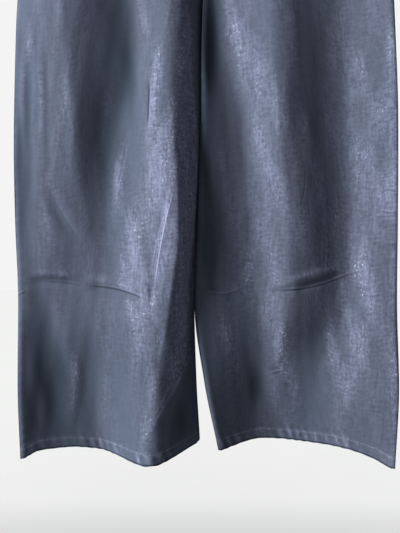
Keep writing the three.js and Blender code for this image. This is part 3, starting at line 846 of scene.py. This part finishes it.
def scoop_z(leg, x):
    from_corner = np.clip((abs(leg.out_x(TOP)) - abs(x)) / SCOOP_WIDTH, 0, 1)
    return TOP - SCOOP_DEPTH * np.sqrt(1 - from_corner**2)


def scoop_edge(leg, shares):
    """The level where each column meets the scoop, by halving."""
    low = np.full(len(shares), TOP - SCOOP_DEPTH, float)
    high = np.full(len(shares), TOP, float)
    for _ in range(HALVINGS):
        middle = (low + high) / 2
        x = leg.out_x(middle) * (1 - shares)
        below = middle < scoop_z(leg, x)
        low = np.where(below, middle, low)
        high = np.where(below, high, middle)
    return low


def yoke_seam(share):
    """The yoke's seam falls from the side seam to the centre back."""
    return lerp(YOKE_SIDE, YOKE_CENTRE, share)


# Rubbed places, lighter partly as painted highlight, and painted shade below 0: x, z, half width, half
# height, amount
RUBBED_AND_PAINTED_LIGHT = {
    ("right", "front"): [
        (-66, -640, 40, 180, 0.60),
        (-64, -400, 24, 110, 0.15),
        (-78, -830, 34, 90, 0.50),
        (-225, -560, 34, 150, 0.20),
        (-282, -430, 26, 330, -0.60),
        (-120, -430, 34, 150, -0.60),
        (-235, -950, 60, 130, -0.65),
        (-36, -985, 20, 60, -0.80),
        (4, -430, 15, 170, -1.20),
        (-246, -630, 42, 100, -0.30),
        (-26, -600, 16, 210, 1.20),
        (-44, -905, 16, 60, 0.50),
        (2, -700, 9, 150, -0.60),
    ],
    ("left", "front"): [
        (78, -480, 36, 190, 0.20),
        (108, -720, 32, 150, 0.40),
        (240, -640, 36, 260, 0.35),
        (225, -900, 50, 90, 0.10),
        (4, -430, 15, 170, -1.20),
        (4, -720, 18, 150, -0.50),
        (78, -945, 16, 48, -0.75),
        (277, -640, 9, 400, 0.60),
        (200, -720, 40, 100, 0.25),
    ],
    ("right", "back"): [
        (-150, -620, 50, 160, 0.45),
    ],
    ("left", "back"): [
        (150, -620, 50, 160, 0.45),
    ],
}


RUBBED_EVERYWHERE = 0.2
# Folds: rubbing, with painted highlight on their tops and painted shade in their creases; then painted shade
# along the edges
RUBBED_AND_PAINTED_LIGHT_ON_FOLDS = 0.25
PAINTED_SHADE_HEM_EDGE = 1.8
PAINTED_SHADE_SIDE_EDGE = 1.6
PAINTED_SHADE_INNER_EDGE = 1.2


def wear(leg, face, x, z):
    """How much a place is rubbed, with painted light and shade: listed patches, folds' tops lighter as
    painted highlight and creases darker as painted shade, the hem's rope and fold, and painted shade along
    the hem's edge and the seams.
    """
    rubbed_and_painted_light = RUBBED_EVERYWHERE + RUBBED_AND_PAINTED_LIGHT_ON_FOLDS * np.clip(leg.relief(face, x, z), -1, 2)
    painted_shade = 0
    # Listed patches: the lighter ones rubbing and painted highlight, the darker ones painted shade
    for at_x, at_z, wide, high, amount in RUBBED_AND_PAINTED_LIGHT[leg.name, face]:
        patch = np.exp(-(((x - at_x) / wide) ** 2) - ((z - at_z) / high) ** 2)
        rubbed_and_painted_light = rubbed_and_painted_light + max(amount, 0) * patch
        painted_shade = painted_shade + min(amount, 0) * patch
    total = rubbed_and_painted_light * (1 + wobble(x, z, leg.seed + 40, 50, 150, 0.35)) + painted_shade
    above_edge = z + OUTSEAM
    # The hem's rope lighter and darker on its twists, and a light line at its stitches: partly hem wear,
    # partly painted highlight and painted shade
    total += 0.4 * leg.rope(x, above_edge) * (1 - ease((above_edge - HEM_STITCHED) / 4))
    total += 0.6 * bell(above_edge - HEM_STITCHED - 1, 1.6)
    # Painted shade along the hem's edge, the side seams and, low on the legs, the inseams
    total -= PAINTED_SHADE_HEM_EDGE * (1 - ease(above_edge / 2.8))
    total -= PAINTED_SHADE_SIDE_EDGE * (1 - ease(abs(x - leg.out_x(z)) / 3.4))
    total -= PAINTED_SHADE_INNER_EDGE * (1 - ease(abs(x - leg.inner_x(z)) / 2.6)) * ease((FORK - 300 - z) / 100)
    return np.clip(total, -1, 1.2)


def leg_sheet(piece, leg, kind):
    """Ties a leg's piece of cloth to the root, in place of its node, which it hides."""
    part(piece, "denim", kind + "_" + leg.name)


def cloth_piece(kind, leg, face, x, z, material, lifts=(0, -CLOTH)):
    """A piece of cloth on or under a leg's face, as a wall between two lifts."""
    outer = leg.skin(face, x, z, lifts[0])
    inner = leg.skin(face, x, z, lifts[1])
    fold, sharp = leg.fold_lines(face, x, z)
    painted = {"wear_and_painted_light": wear(leg, face, x, z), "fold": fold, "sharp": sharp}
    piece = shell(leg.name + "_" + kind + "_cloth", outer, inner, material, painted=painted)
    leg_sheet(piece, leg, kind)


# Front and back panels, with finer rows at the knee crease and at the hem
KNEE_HIGH = -740
KNEE_LOW = -830
NEAR_HEM = -1000


def front_panel(leg):
    rows = levels([TOP, FORK, KNEE_HIGH, KNEE_LOW, NEAR_HEM, -OUTSEAM], [6.5, 3.6, 2.4, 3.6, 1.15])
    x, z = panel_grid(leg, rows, 118, leg.front_edge, lambda share: scoop_edge(leg, share), -260)
    cloth_piece("front", leg, "front", x, z, DENIM[leg.name])


def back_panel(leg):
    start = YOKE_CENTRE - GAP / 2
    rows = levels([start, FORK, KNEE_HIGH, KNEE_LOW, NEAR_HEM, -OUTSEAM], [8.5, 5, 3.4, 5, 1.6])
    x, z = panel_grid(leg, rows, 78, leg.inner_x, lambda share: yoke_seam(share) - GAP / 2, -200)
    cloth_piece("back", leg, "back", x, z, DENIM[leg.name])


def yoke(leg):
    share = columns(abs(leg.out_x(-60)), 60)
    low = yoke_seam(share) + GAP / 2
    z = lerp(TOP, low, np.linspace(0, 1, 22)[:, None])
    x = lerp(leg.out_x(z), leg.inner_x(z), share)
    lapped = YOKE_LAP * (1 - ease((z - low - YOKE_ALLOWANCE) / 3))
    cloth_piece("yoke", leg, "back", x, z, DENIM_TOP, (lapped, lapped - CLOTH))


# The facing that shows in the scoop, and goes on behind the front panel
FACING_LIFT = -1.5
FACING_WIDTH = 99
FACING_BELOW = 16


def pocket_facing(leg):
    from_side = np.concatenate([EDGE_STEPS, np.linspace(EDGE_ROUND, FACING_WIDTH, 34)])
    z = np.linspace(TOP, TOP - SCOOP_DEPTH - FACING_BELOW, 40)[:, None] + 0 * from_side
    x = leg.out_x(z) - leg.side * from_side
    cloth_piece("pocket_facing", leg, "front", x, z, DENIM_TOP, (FACING_LIFT, FACING_LIFT - CLOTH))


# Back patch pocket: straight sides, a shallow point and a turned-down top
POCKET_CENTRE = 118
POCKET_WIDTH = 138
POCKET_TOP = -128
POCKET_SIDE = 118
POCKET_POINT = 20
POCKET_HEM = 14
POCKET_LIFT = 1.9
POCKET_ROWS = (2, 8)  # the two rows of stitches, in from its edge


def pocket_place(leg, across, share):
    """x and z at a distance across from the pocket's middle, and a share of the way down."""
    half = POCKET_WIDTH / 2
    bottom = POCKET_TOP - POCKET_SIDE - POCKET_POINT * (1 - abs(across) / half)
    return leg.side * POCKET_CENTRE + across * lerp(1, 0.93, share), lerp(POCKET_TOP, bottom, share)


def back_pocket(leg):
    half = POCKET_WIDTH / 2
    edge = np.array([0, 0.5, 1.2, 2.2, 3.6])
    across = np.concatenate([-half + edge, np.linspace(-half + 6, half - 6, 40), (half - edge)[::-1]])[None]
    edge_share = edge / POCKET_SIDE
    share = np.concatenate([edge_share, np.linspace(0.05, 0.95, 38), 1 - edge_share[::-1]])[:, None]
    x, z = pocket_place(leg, across, share)
    border = np.minimum(half - abs(across), np.minimum(share, 1 - share) * POCKET_SIDE)
    fold = 0.6 * (1 - ease(border / 1.6))
    turned = 0.5 * (1 - ease((share * POCKET_SIDE - POCKET_HEM) / 2))
    grooves = 0.25 * sum(bell(border - inset, 0.8) for inset in POCKET_ROWS)
    outer = POCKET_LIFT + turned - fold - grooves
    cloth_piece("back_pocket", leg, "back", x, z, DENIM_TOP, (outer, 0.4))


# The turned-up hem: a ring inside both panels that wraps under their edge
HEM_CORNER = 4.7
HEM_INSIDE = (-1.4, -2.4, 0, 0)  # lift of its outer and inner face, and drop of each
HEM_LIP = [(-1.3, -2.2, -0.25, -0.9), (-0.7, -1.2, -0.3, -1.25), (-0.1, -0.1, -0.3, -0.9)]


def hem(leg):
    z = np.linspace(-OUTSEAM + HEM_HEIGHT, -OUTSEAM, 12)
    rows = [(level, *HEM_INSIDE) for level in z] + [(z[-1], *bend) for bend in HEM_LIP]
    share = columns(abs(leg.out_x(-OUTSEAM) - leg.inner_x(-OUTSEAM)), 90)[0, 6:-6]  # clear of the corners
    outer, inner = [], []
    for level, out_lift, in_lift, out_drop, in_drop in rows:
        for points, lift, drop in ((outer, out_lift, out_drop), (inner, in_lift, in_drop)):
            x = lerp(leg.out_x(level), leg.inner_x(level), share)
            front = leg.skin("front", x, level, lift)
            back = leg.skin("back", x, level, lift)[::-1]
            ends = []
            for edge, inward in ((leg.out_x(level), -leg.side), (leg.inner_x(level), leg.side)):
                at = edge + inward * (HEM_CORNER - lift)
                y = lerp(leg.front_y(at, level), leg.back_y(at, level), 0.6)
                ends.append([[at, y, level - leg.hem_fall(edge, level)]])
            line = np.concatenate([ends[0], front, ends[1], back])
            line[:, 2] += drop
            points.append(line)
    outer, inner = np.array(outer), np.array(inner)
    piece = shell(leg.name + "_hem_cloth", outer, inner, DENIM_INSIDE, ring=True)
    leg_sheet(piece, leg, "hem")


# The waistband: one strip once round the waist, its left end lapped over the right one
LAP_END = -21
LAP_UNDER = 30
LAP_LIFT = BAND_THICK + 0.4
BAND_TURN = 1.1  # radius of the band's rolled edges
BAND_ROW = 2.6  # rows of stitches, in from its edges


def lap_lift(x):
    """The lapped end stands over the under end and comes down beyond it."""
    return LAP_LIFT * (1 - ease((x - LAP_UNDER - 6) / 22))


def band_line(z, count=70):
    """The waist's outline at a level: points and outward normals, from the under end round to the lap."""
    half = {leg.name: leg.out_x(0) for leg in LEGS}
    stretches = [
        (RIGHT, "front", LAP_UNDER, half["right"], count),
        (RIGHT, "back", half["right"], 0, count),
        (LEFT, "back", 0, half["left"], count),
        (LEFT, "front", half["left"], LAP_END, count + 20),
    ]
    points = []
    for leg, face, start, end, steps in stretches:
        reach = half[leg.name]
        angle = np.linspace(np.arccos(np.clip(start / reach, -1, 1)), np.arccos(end / reach), steps)
        x = reach * np.cos(angle)
        lift = 0 * x
        if (leg, face) == (LEFT, "front"):
            lift = lap_lift(x)
        x = x * leg.out_x(z) / reach
        line = np.stack([x, leg.surface(face, x, z + 0 * x) - lift, z + 0 * x], -1)
        points.append(line if not points else line[1:])
    points = np.concatenate(points)
    step = np.gradient(points, axis=0)
    size = np.hypot(step[:, 0], step[:, 1])
    normals = np.stack([-step[:, 1] / size, step[:, 0] / size, 0 * size], -1)
    return points, normals


def waistband():
    turn = np.array([0, 0.15, 0.4, 0.75, 1.1])
    z = np.concatenate([-turn, -np.linspace(2, BAND_HEIGHT - 2, 34), -BAND_HEIGHT + turn[::-1]])
    outer, inner = [], []
    for level in z:
        points, normals = band_line(level)
        along = lengths(points[None], 1)[0]
        from_edge = min(-level, BAND_HEIGHT + level)
        pulled_in = BAND_TURN * (1 - math.sqrt(1 - max(0, 1 - from_edge / BAND_TURN) ** 2))
        groove = 0.22 * bell(from_edge - BAND_ROW, 0.9)
        pucker = np.sin(along * 2 * math.pi / 12 + wobble(along, 0 * along, 61, 110, NO_WAVE, 1.5))
        swell = 0.14 * pucker * bell(from_edge - 5, 5) - groove - pulled_in
        outer.append(points + normals * (BAND_PROUD + swell)[:, None])
        inner.append(points + normals * (BAND_PROUD - BAND_THICK + pulled_in))
    piece = shell("waistband_cloth", np.array(outer), np.array(inner), DENIM_TOP, uv_shift=(2, 1))
    part(piece, "denim", "waistband")


# Belt loops: name, leg, face and x
LOOPS = [
    ("front_right", RIGHT, "front", -92),
    ("front_left", LEFT, "front", 92),
    ("back_right", RIGHT, "back", -122),
    ("back_left", LEFT, "back", 122),
    ("back_centre", LEFT, "back", 0),
]
LOOP_WIDTH = 11
LOOP_TOP = -2
LOOP_BOTTOM = -47


def loop_lift(share):
    """The loop's outer face over the cloth: sewn down at both ends, free between."""
    return 2.0 + 0.9 * ease(share / 0.18) * ease((1 - share) / 0.18)


def belt_loop(name, leg, face, middle):
    across = np.linspace(-0.5, 0.5, 17)[None] * LOOP_WIDTH
    share = np.linspace(0, 1, 40)[:, None]
    z = lerp(LOOP_TOP, LOOP_BOTTOM, share) + 0 * across
    x = middle + across + 0 * share
    edge = LOOP_WIDTH / 2 - abs(across)
    outer = loop_lift(share) - 0.5 * (1 - ease(edge / 1.3)) - 0.2 * bell(edge - 2, 0.7)
    inner = loop_lift(share) - 1.25 + 0 * across
    piece = shell(
        "belt_loop_" + name + "_cloth",
        leg.skin(face, x, z, outer),
        leg.skin(face, x, z, inner),
        DENIM_TOP,
        uv_shift=(middle / 50, 3),
    )
    part(piece, "denim", "belt_loop_" + name)


# Inside the fly: the zip's tape, and the shield behind it
ACROSS = np.linspace(0, 1, 25)[None]
DOWNWARD = np.linspace(0, 1, 60)[:, None]


def behind_fly(name, node, slot, material, sides, high, low, lifts):
    """A strip behind the fly, between two sides and two levels, as a wall between two lifts."""
    x = lerp(*sides, ACROSS) + 0 * DOWNWARD
    z = lerp(high, low, DOWNWARD) + 0 * ACROSS
    strip = shell(name, *(RIGHT.skin("front", x, z, lift) for lift in lifts), material)
    part(strip, slot, node)


def fly_inside():
    behind_fly(
        "zip_tape_cloth", "zip", "zip_tape", TAPE_CLOTH,
        (-13, 11), TOP - 2, -182, (-1.9, -2.6),
    )
    rounded_low = -190 + 18 * (ACROSS - 0.15) ** 2
    behind_fly(
        "fly_shield_cloth", "fly_shield", "denim", DENIM_INSIDE,
        (-36, 16), TOP, rounded_low, (-3.0, -4.3),
    )


# The button, turned as one profile
BUTTON_X = -7
BUTTON_Z = -BAND_HEIGHT / 2
BUTTON_SIDES = 64
HOLE_SHIFT = 5
HOLE_REACH = 12
HOLE_HALF_WIDTH = 2.3
BUTTON_PROFILE = [
    (0, 0), (5.4, 0), (5.4, 0.7), (7.6, 0.9), (8.2, 1.15), (8.5, 1.6), (8.5, 2.0), (8.2, 2.5), (7.7, 2.8),
    (7.2, 2.85), (6.7, 2.65), (6.3, 2.45), (5.6, 2.4), (4.6, 2.55), (3.4, 2.75), (1.8, 2.9), (0, 2.95),
]


def button():
    turns = np.linspace(0, 2 * math.pi, BUTTON_SIDES, endpoint=False)
    radius, height = np.array(BUTTON_PROFILE[1:-1]).T
    face = float(RIGHT.front_y(BUTTON_X, BUTTON_Z)) - LAP_LIFT - BAND_PROUD - GAP
    x = BUTTON_X + radius[:, None] * np.cos(turns)
    z = BUTTON_Z + radius[:, None] * np.sin(turns)
    y = face - height[:, None] + 0 * x
    rings = np.stack([x, y, z], -1).reshape(-1, 3)
    middles = [(BUTTON_X, face - BUTTON_PROFILE[i][1], BUTTON_Z) for i in (0, -1)]
    index = np.arange(rings.shape[0]).reshape(-1, BUTTON_SIDES)
    after = np.roll(index, -1, axis=1)
    quads = np.stack([index[:-1], after[:-1], after[1:], index[1:]], -1).reshape(-1, 4)
    back, front = rings.shape[0], rings.shape[0] + 1
    faces = quads.tolist()
    faces += [(int(b), int(a), back) for a, b in zip(index[0], after[0])]
    faces += [(int(a), int(b), front) for a, b in zip(index[-1], after[-1])]
    mesh = bpy.data.meshes.new("button_cap")
    mesh.from_pydata((np.concatenate([rings, middles]) * MM).tolist(), [], faces)
    part(finished("button_cap", mesh, METAL, smooth_angle=40), "button_metal", "button")


for leg in LEGS:
    front_panel(leg)
    back_panel(leg)
    yoke(leg)
    pocket_facing(leg)
    back_pocket(leg)
    hem(leg)
waistband()
for loop in LOOPS:
    belt_loop(*loop)
fly_inside()
button()


# Sewing: each line of stitches is a row of points on the cloth, and a node tree lays the thread along it


def sewing_tree():
    tree = bpy.data.node_groups.new("sewn thread", "GeometryNodeTree")
    face = tree.interface
    face.new_socket("Geometry", in_out="OUTPUT", socket_type="NodeSocketGeometry")
    face.new_socket("Seams", in_out="INPUT", socket_type="NodeSocketGeometry")
    for name in ("Pitch", "Stitch length", "Thread width"):
        face.new_socket(name, in_out="INPUT", socket_type="NodeSocketFloat")
    face.new_socket("Seed", in_out="INPUT", socket_type="NodeSocketInt")
    face.new_socket("Thread", in_out="INPUT", socket_type="NodeSocketMaterial")
    nodes, links = tree.nodes, tree.links

    def node(kind, inputs, **settings):
        return add_node(tree, kind, inputs, **settings)

    given = nodes.new("NodeGroupInput").outputs
    curve = node("GeometryNodeMeshToCurve", {"Mesh": given["Seams"]}).outputs[0]
    spots = node("GeometryNodeResampleCurve", {"Curve": curve, "Length": given["Pitch"]}, mode="LENGTH")
    along = nodes.new("GeometryNodeInputTangent").outputs[0]
    out = node("GeometryNodeInputNamedAttribute", {"Name": "out_of_cloth"}, data_type="FLOAT_VECTOR")
    turn = node(
        "FunctionNodeAxesToRotation",
        {"Primary Axis": along, "Secondary Axis": out.outputs["Attribute"]},
        primary_axis="X",
        secondary_axis="Z",
    )
    lengths_vary = {2: 0.86, 3: 1.08, "Seed": given["Seed"]}
    uneven = node("FunctionNodeRandomValue", lengths_vary, data_type="FLOAT").outputs[1]
    reach = node("ShaderNodeMath", {0: given["Stitch length"], 1: uneven}, operation="MULTIPLY").outputs[0]
    thick = given["Thread width"]
    size = node("ShaderNodeCombineXYZ", {"X": reach, "Y": thick, "Z": thick}).outputs[0]
    stitch = node("GeometryNodeMeshUVSphere", {"Segments": 6, "Rings": 5, "Radius": 0.5}).outputs["Mesh"]
    laid = node(
        "GeometryNodeInstanceOnPoints",
        {"Points": spots.outputs[0], "Instance": stitch, "Rotation": turn.outputs[0], "Scale": size},
    ).outputs[0]
    real = node("GeometryNodeRealizeInstances", {"Geometry": laid}).outputs[0]
    done = node("GeometryNodeSetMaterial", {"Geometry": real, "Material": given["Thread"]}).outputs[0]
    links.new(done, nodes.new("NodeGroupOutput").inputs[0])
    return tree


SEWING = sewing_tree()


STITCH = (3.5, 2.7, 0.62)  # pitch, length and thread width
BAR_STITCH = (0.55, 0.5, 2.2)
HOLE_STITCH = (0.6, 0.55, 1.9)


def sew(name, seams, seed, stitch=STITCH):
    """Lays stitches along seams, each a pair of points and outward normals."""
    points = np.concatenate([line for line, _ in seams]) * MM
    normals = np.concatenate([outward for _, outward in seams])
    edges, start = [], 0
    for line, _ in seams:
        edges += [(start + i, start + i + 1) for i in range(len(line) - 1)]
        start += len(line)
    mesh = bpy.data.meshes.new(name)
    mesh.from_pydata(points.tolist(), edges, [])
    out = mesh.attributes.new("out_of_cloth", "FLOAT_VECTOR", "POINT")
    out.data.foreach_set("vector", normals.reshape(-1).astype(np.float32))
    piece = bpy.data.objects.new(name, mesh)
    bpy.context.collection.objects.link(piece)
    layer = piece.modifiers.new("sewn thread", "NODES")
    layer.node_group = SEWING
    pitch, length, width = stitch
    values = {
        "Pitch": pitch * MM,
        "Stitch length": length * MM,
        "Thread width": width * MM,
        "Seed": seed,
        "Thread": THREAD,
    }
    for socket in SEWING.interface.items_tree:
        if socket.name in values:
            layer[socket.identifier] = values[socket.name]
    evaluated = piece.evaluated_get(bpy.context.evaluated_depsgraph_get())
    sewn = bpy.data.meshes.new_from_object(evaluated)
    piece.modifiers.clear()
    piece.data = sewn
    sewn.polygons.foreach_set("use_smooth", [True] * len(sewn.polygons))
    return part(piece, "denim")


THREAD_LIFT = 0.15  # the thread's middle over the cloth
SEAM_ROWS = (2.2, 8.2)  # two rows beside the scoop
CENTRE_ROWS = (2.2, 8)
FLY_ROWS = ((32, FLY_END + 6), (38, FLY_END))  # width from the centre, and level of the curve's end
FLY_CURVE = 32
SIDE_ROW = 3.2
SIDE_ROW_END = -235


def on_cloth(leg, face, x, z, lift=0.0):
    return leg.skin(face, x, z, THREAD_LIFT + lift, outward=True)


def hem_seams(leg):
    level = -OUTSEAM + HEM_STITCHED
    out, inner = leg.out_x(level) - 2 * leg.side, leg.inner_x(level) + 2 * leg.side
    x = np.linspace(out, inner, 160)
    return [on_cloth(leg, face, x, level + 0 * x) for face in ("front", "back")]


def scoop_seams(leg):
    """Two rows round the scoop of the front pocket."""
    seams = []
    for away in SEAM_ROWS:
        turn = np.linspace(0, math.pi / 2, 60)
        from_corner = (SCOOP_WIDTH + away) * np.sin(turn)
        z = TOP - (SCOOP_DEPTH + away) * np.cos(turn)
        x = leg.side * (abs(leg.out_x(TOP)) - from_corner)
        flat_out = np.linspace(leg.out_x(z[0]) - 2.5 * leg.side, x[0], 14)[:-1]
        x = np.concatenate([flat_out, x])
        z = np.concatenate([z[0] + 0 * flat_out, z])
        keep = z < TOP - 1
        seams.append(on_cloth(leg, "front", x[keep], z[keep]))
    return seams


def yoke_seams(leg):
    share = np.linspace(0.015, 0.995, 70)
    seams = []
    for above in (2, 7.6):
        z = yoke_seam(share) + above
        seams.append(on_cloth(leg, "back", lerp(leg.out_x(z), leg.inner_x(z), share), z, YOKE_LAP))
    return seams


def pocket_seams(leg):
    half = POCKET_WIDTH / 2
    seams = []
    for inset in POCKET_ROWS:
        sides = np.linspace(0.012, 1 - inset / POCKET_SIDE, 50)
        low = np.linspace(-half + inset, half - inset, 60)
        across = np.concatenate([0 * sides - half + inset, low, 0 * sides + half - inset])
        share = np.concatenate([sides, 0 * low + sides[-1], sides[::-1]])
        x, z = pocket_place(leg, across, share)
        seams.append(on_cloth(leg, "back", x, z, POCKET_LIFT - 0.2))
    across = np.linspace(-half + 2, half - 2, 50)
    for drop in (2.5, POCKET_HEM - 1.5):
        x, z = pocket_place(leg, across, drop / POCKET_SIDE + 0 * across)
        seams.append(on_cloth(leg, "back", x, z, POCKET_LIFT + 0.4))
    return seams


def centre_seams():
    """Two rows beside the centre back and the centre front, and the curve of the fly."""
    seams = []
    for beside in CENTRE_ROWS:
        z = np.linspace(YOKE_CENTRE - 4, FORK + 5, 70)
        seams.append(on_cloth(LEFT, "back", beside + 0 * z, z))
    for width, low in FLY_ROWS:
        turn = np.linspace(0, math.pi / 2, 30)
        straight = np.linspace(TOP - 1, low + FLY_CURVE, 40)[:-1]
        x = np.concatenate([width + 0 * straight, width * np.cos(turn) + 1.5 * np.sin(turn)])
        z = np.concatenate([straight, low + FLY_CURVE - FLY_CURVE * np.sin(turn)])
        seams.append(on_cloth(LEFT, "front", x, z))
    for beside in CENTRE_ROWS:
        z = np.linspace(FLY_END - 12, FORK + 5, 30)
        seams.append(on_cloth(LEFT, "front", beside + 0 * z, z))
    return seams


def side_seams(leg):
    z = np.linspace(YOKE_SIDE - 6, SIDE_ROW_END, 50)
    return [on_cloth(leg, "back", leg.out_x(z) - SIDE_ROW * leg.side, z)]


def band_seams():
    """A row along each edge of the waistband and one down its lapped end."""
    seams = []
    for level in (-BAND_ROW, -BAND_HEIGHT + BAND_ROW):
        points, normals = band_line(level)
        seams.append(((points + normals * (BAND_PROUD + THREAD_LIFT - 0.1))[2:-1], normals[2:-1]))
    level = -np.linspace(3, BAND_HEIGHT - 3, 12)
    x = LAP_END + BAND_ROW + 0 * level
    y = LEFT.front_y(x, level) - LAP_LIFT - BAND_PROUD - THREAD_LIFT
    seams.append((np.stack([x, y, level], -1), np.tile([0.0, -1.0, 0.0], (len(x), 1))))
    return seams


def loop_seams():
    seams = []
    share = np.linspace(0.02, 0.98, 30)
    for _, leg, face, middle in LOOPS:
        for beside in (-LOOP_WIDTH / 2 + 2, LOOP_WIDTH / 2 - 2):
            z = lerp(LOOP_TOP, LOOP_BOTTOM, share)
            seams.append(on_cloth(leg, face, middle + beside + 0 * z, z, loop_lift(share) - 0.15))
    return seams


def bar(leg, face, x, z, lift, turned=False, length=9):
    """A bartack: dense stitches side by side."""
    reach = np.linspace(-length / 2, length / 2, 12)
    across = reach * (not turned)
    return on_cloth(leg, face, x + across, z + reach * turned, lift)


def bartacks():
    seams = []
    for _, leg, face, middle in LOOPS:
        for z in (LOOP_TOP - 2.4, LOOP_BOTTOM + 2.4):
            seams.append(bar(leg, face, middle, z, 2.1))
    half = POCKET_WIDTH / 2
    for leg in LEGS:
        for across in (-half + 5, half - 5):
            x, z = pocket_place(leg, across, 2.5 / POCKET_SIDE)
            seams.append(bar(leg, "back", float(x), float(z), POCKET_LIFT + 0.4, length=7))
        x = float(leg.out_x(TOP - SCOOP_DEPTH)) - 6 * leg.side
        seams.append(bar(leg, "front", x, TOP - SCOOP_DEPTH - 5, 0.1, turned=True))
    seams.append(bar(LEFT, "front", 5, FLY_END + 2, 0.1, turned=True))
    return seams


def buttonhole():
    turn = np.linspace(0, 2 * math.pi, 60)
    x = BUTTON_X + HOLE_SHIFT + HOLE_REACH * np.cos(turn)
    z = BUTTON_Z + HOLE_HALF_WIDTH * np.sin(turn)
    y = LEFT.front_y(x, z) - lap_lift(x) - BAND_PROUD - 0.1
    return [(np.stack([x, y, z], -1), np.tile([0.0, -1.0, 0.0], (len(x), 1)))]


for leg in LEGS:
    sew("hem_stitching_" + leg.name, hem_seams(leg), leg.seed)
    tops = scoop_seams(leg) + yoke_seams(leg) + pocket_seams(leg) + side_seams(leg)
    sew("top_stitching_" + leg.name, tops, leg.seed + 1)
sew("centre_stitching", centre_seams(), 21)
sew("waistband_stitching", band_seams() + loop_seams(), 22)
sew("bartacks", bartacks(), 23, BAR_STITCH)
sew("buttonhole_stitching", buttonhole(), 24, HOLE_STITCH)


# Stage, light and camera, in metres and watts
DISTANCE = 0.700  # camera to the cloth's middle plane
PIXEL = 0.00154  # size of one of the photo's pixels on that plane
LONG_SIDE = 533
SENSOR = 36
CAMERA_X = -0.006
CAMERA_Z = -0.752
FLOOR_HALF = 14.0
FLOOR_LEVEL = -1.5
WINDOW_POWER = 285
FILL_POWER = 60
FLOOR_POWER = 1.75
BACKDROP_GIVES = 0.46  # the light it gives the cloth
BACKDROP_SHOWS = 1.0  # how bright it stands behind


def place_camera():
    """A level camera, square to the cloth."""
    data = bpy.data.cameras.new("camera")
    camera = bpy.data.objects.new("camera", data)
    bpy.context.collection.objects.link(camera)
    data.sensor_width = SENSOR
    data.lens = SENSOR * DISTANCE / (PIXEL * LONG_SIDE)
    data.clip_start = 0.05
    data.clip_end = 60
    camera.location = (CAMERA_X, -DISTANCE, CAMERA_Z)
    camera.rotation_euler = (math.radians(90), 0, 0)
    bpy.context.scene.camera = camera


def hang_backdrop():
    """An even pale surround that stands brighter than it lights."""
    world = bpy.data.worlds.new("studio")
    world.use_nodes = True
    tree = world.node_tree
    sky = tree.nodes["Background"]
    sky.inputs["Color"].default_value = (0.90, 0.905, 0.90, 1)
    seen = add_node(tree, "ShaderNodeLightPath", {}).outputs["Is Camera Ray"]
    limits = {"Value": seen, "To Min": BACKDROP_GIVES, "To Max": BACKDROP_SHOWS}
    wire(tree, sky.inputs["Strength"], add_node(tree, "ShaderNodeMapRange", limits).outputs[0])
    bpy.context.scene.world = world
    bpy.context.scene.view_settings.view_transform = "Standard"


FLOOR = bpy.data.collections.new("floor")
CLOTH_LIGHT = bpy.data.collections.new("lit by the lamps")


def lamp(name, place, aim, width, height, power, colour=(1, 1, 1)):
    """A soft rectangular light on the garment, at place and turned towards aim."""
    data = bpy.data.lights.new(name, "AREA")
    data.shape = "RECTANGLE"
    data.size, data.size_y = width, height
    data.energy = power
    data.color = colour
    made = bpy.data.objects.new(name, data)
    made.location = place
    made.rotation_euler = (Vector(aim) - Vector(place)).to_track_quat("-Z", "Y").to_euler()
    bpy.context.collection.objects.link(made)
    made.light_linking.receiver_collection = CLOTH_LIGHT


def floor_paint():
    """Mottled pale paint, with painted shade making it darker towards the front, nearer the garment."""
    n = Nodes("pale floor")
    place = n.add("ShaderNodeTexCoord").outputs["Object"]
    mottle = n.noise(place, (3, 3, 3), 2.0)
    depth = n.add("ShaderNodeSeparateXYZ", {0: place}).outputs["Y"]
    pale = n.mix(mottle, (0.90, 0.91, 0.90, 1), (0.93, 0.935, 0.93, 1))
    # Painted shade: the floor darker towards the front, nearer the garment
    n.surface(
        Base_Color=n.mix(n.band(depth, 0.54, 0.78), (0.76, 0.77, 0.765, 1), pale),
        Roughness=0.95,
        Specular_IOR_Level=0.1,
    )
    return n.material


def lay_floor():
    """A floor that the lamps pass by and a light of its own shines on."""
    mesh = bpy.data.meshes.new("floor")
    sides = ((-1, -1), (1, -1), (1, 1), (-1, 1))
    mesh.from_pydata([(FLOOR_HALF * x, FLOOR_HALF * y, FLOOR_LEVEL) for x, y in sides], [], [(0, 1, 2, 3)])
    floor = bpy.data.objects.new("floor", mesh)
    bpy.context.collection.objects.link(floor)
    mesh.materials.append(floor_paint())
    FLOOR.objects.link(floor)
    CLOTH_LIGHT.objects.link(floor)
    CLOTH_LIGHT.collection_objects[0].light_linking.link_state = "EXCLUDE"
    light = bpy.data.lights.new("light on the floor", "SUN")
    light.energy = FLOOR_POWER
    light.angle = math.radians(120)
    overhead = bpy.data.objects.new("light on the floor", light)
    bpy.context.collection.objects.link(overhead)
    overhead.light_linking.receiver_collection = FLOOR


place_camera()
hang_backdrop()
lamp("window on the left", (-1.95, -1.0, 0.05), (0, 0, -0.72), 1.0, 1.2, WINDOW_POWER, (1.0, 0.995, 0.98))
lamp("fill behind", (-1.6, 1.6, 0.1), (0, 0, -0.6), 1.2, 1.2, FILL_POWER)
lay_floor()
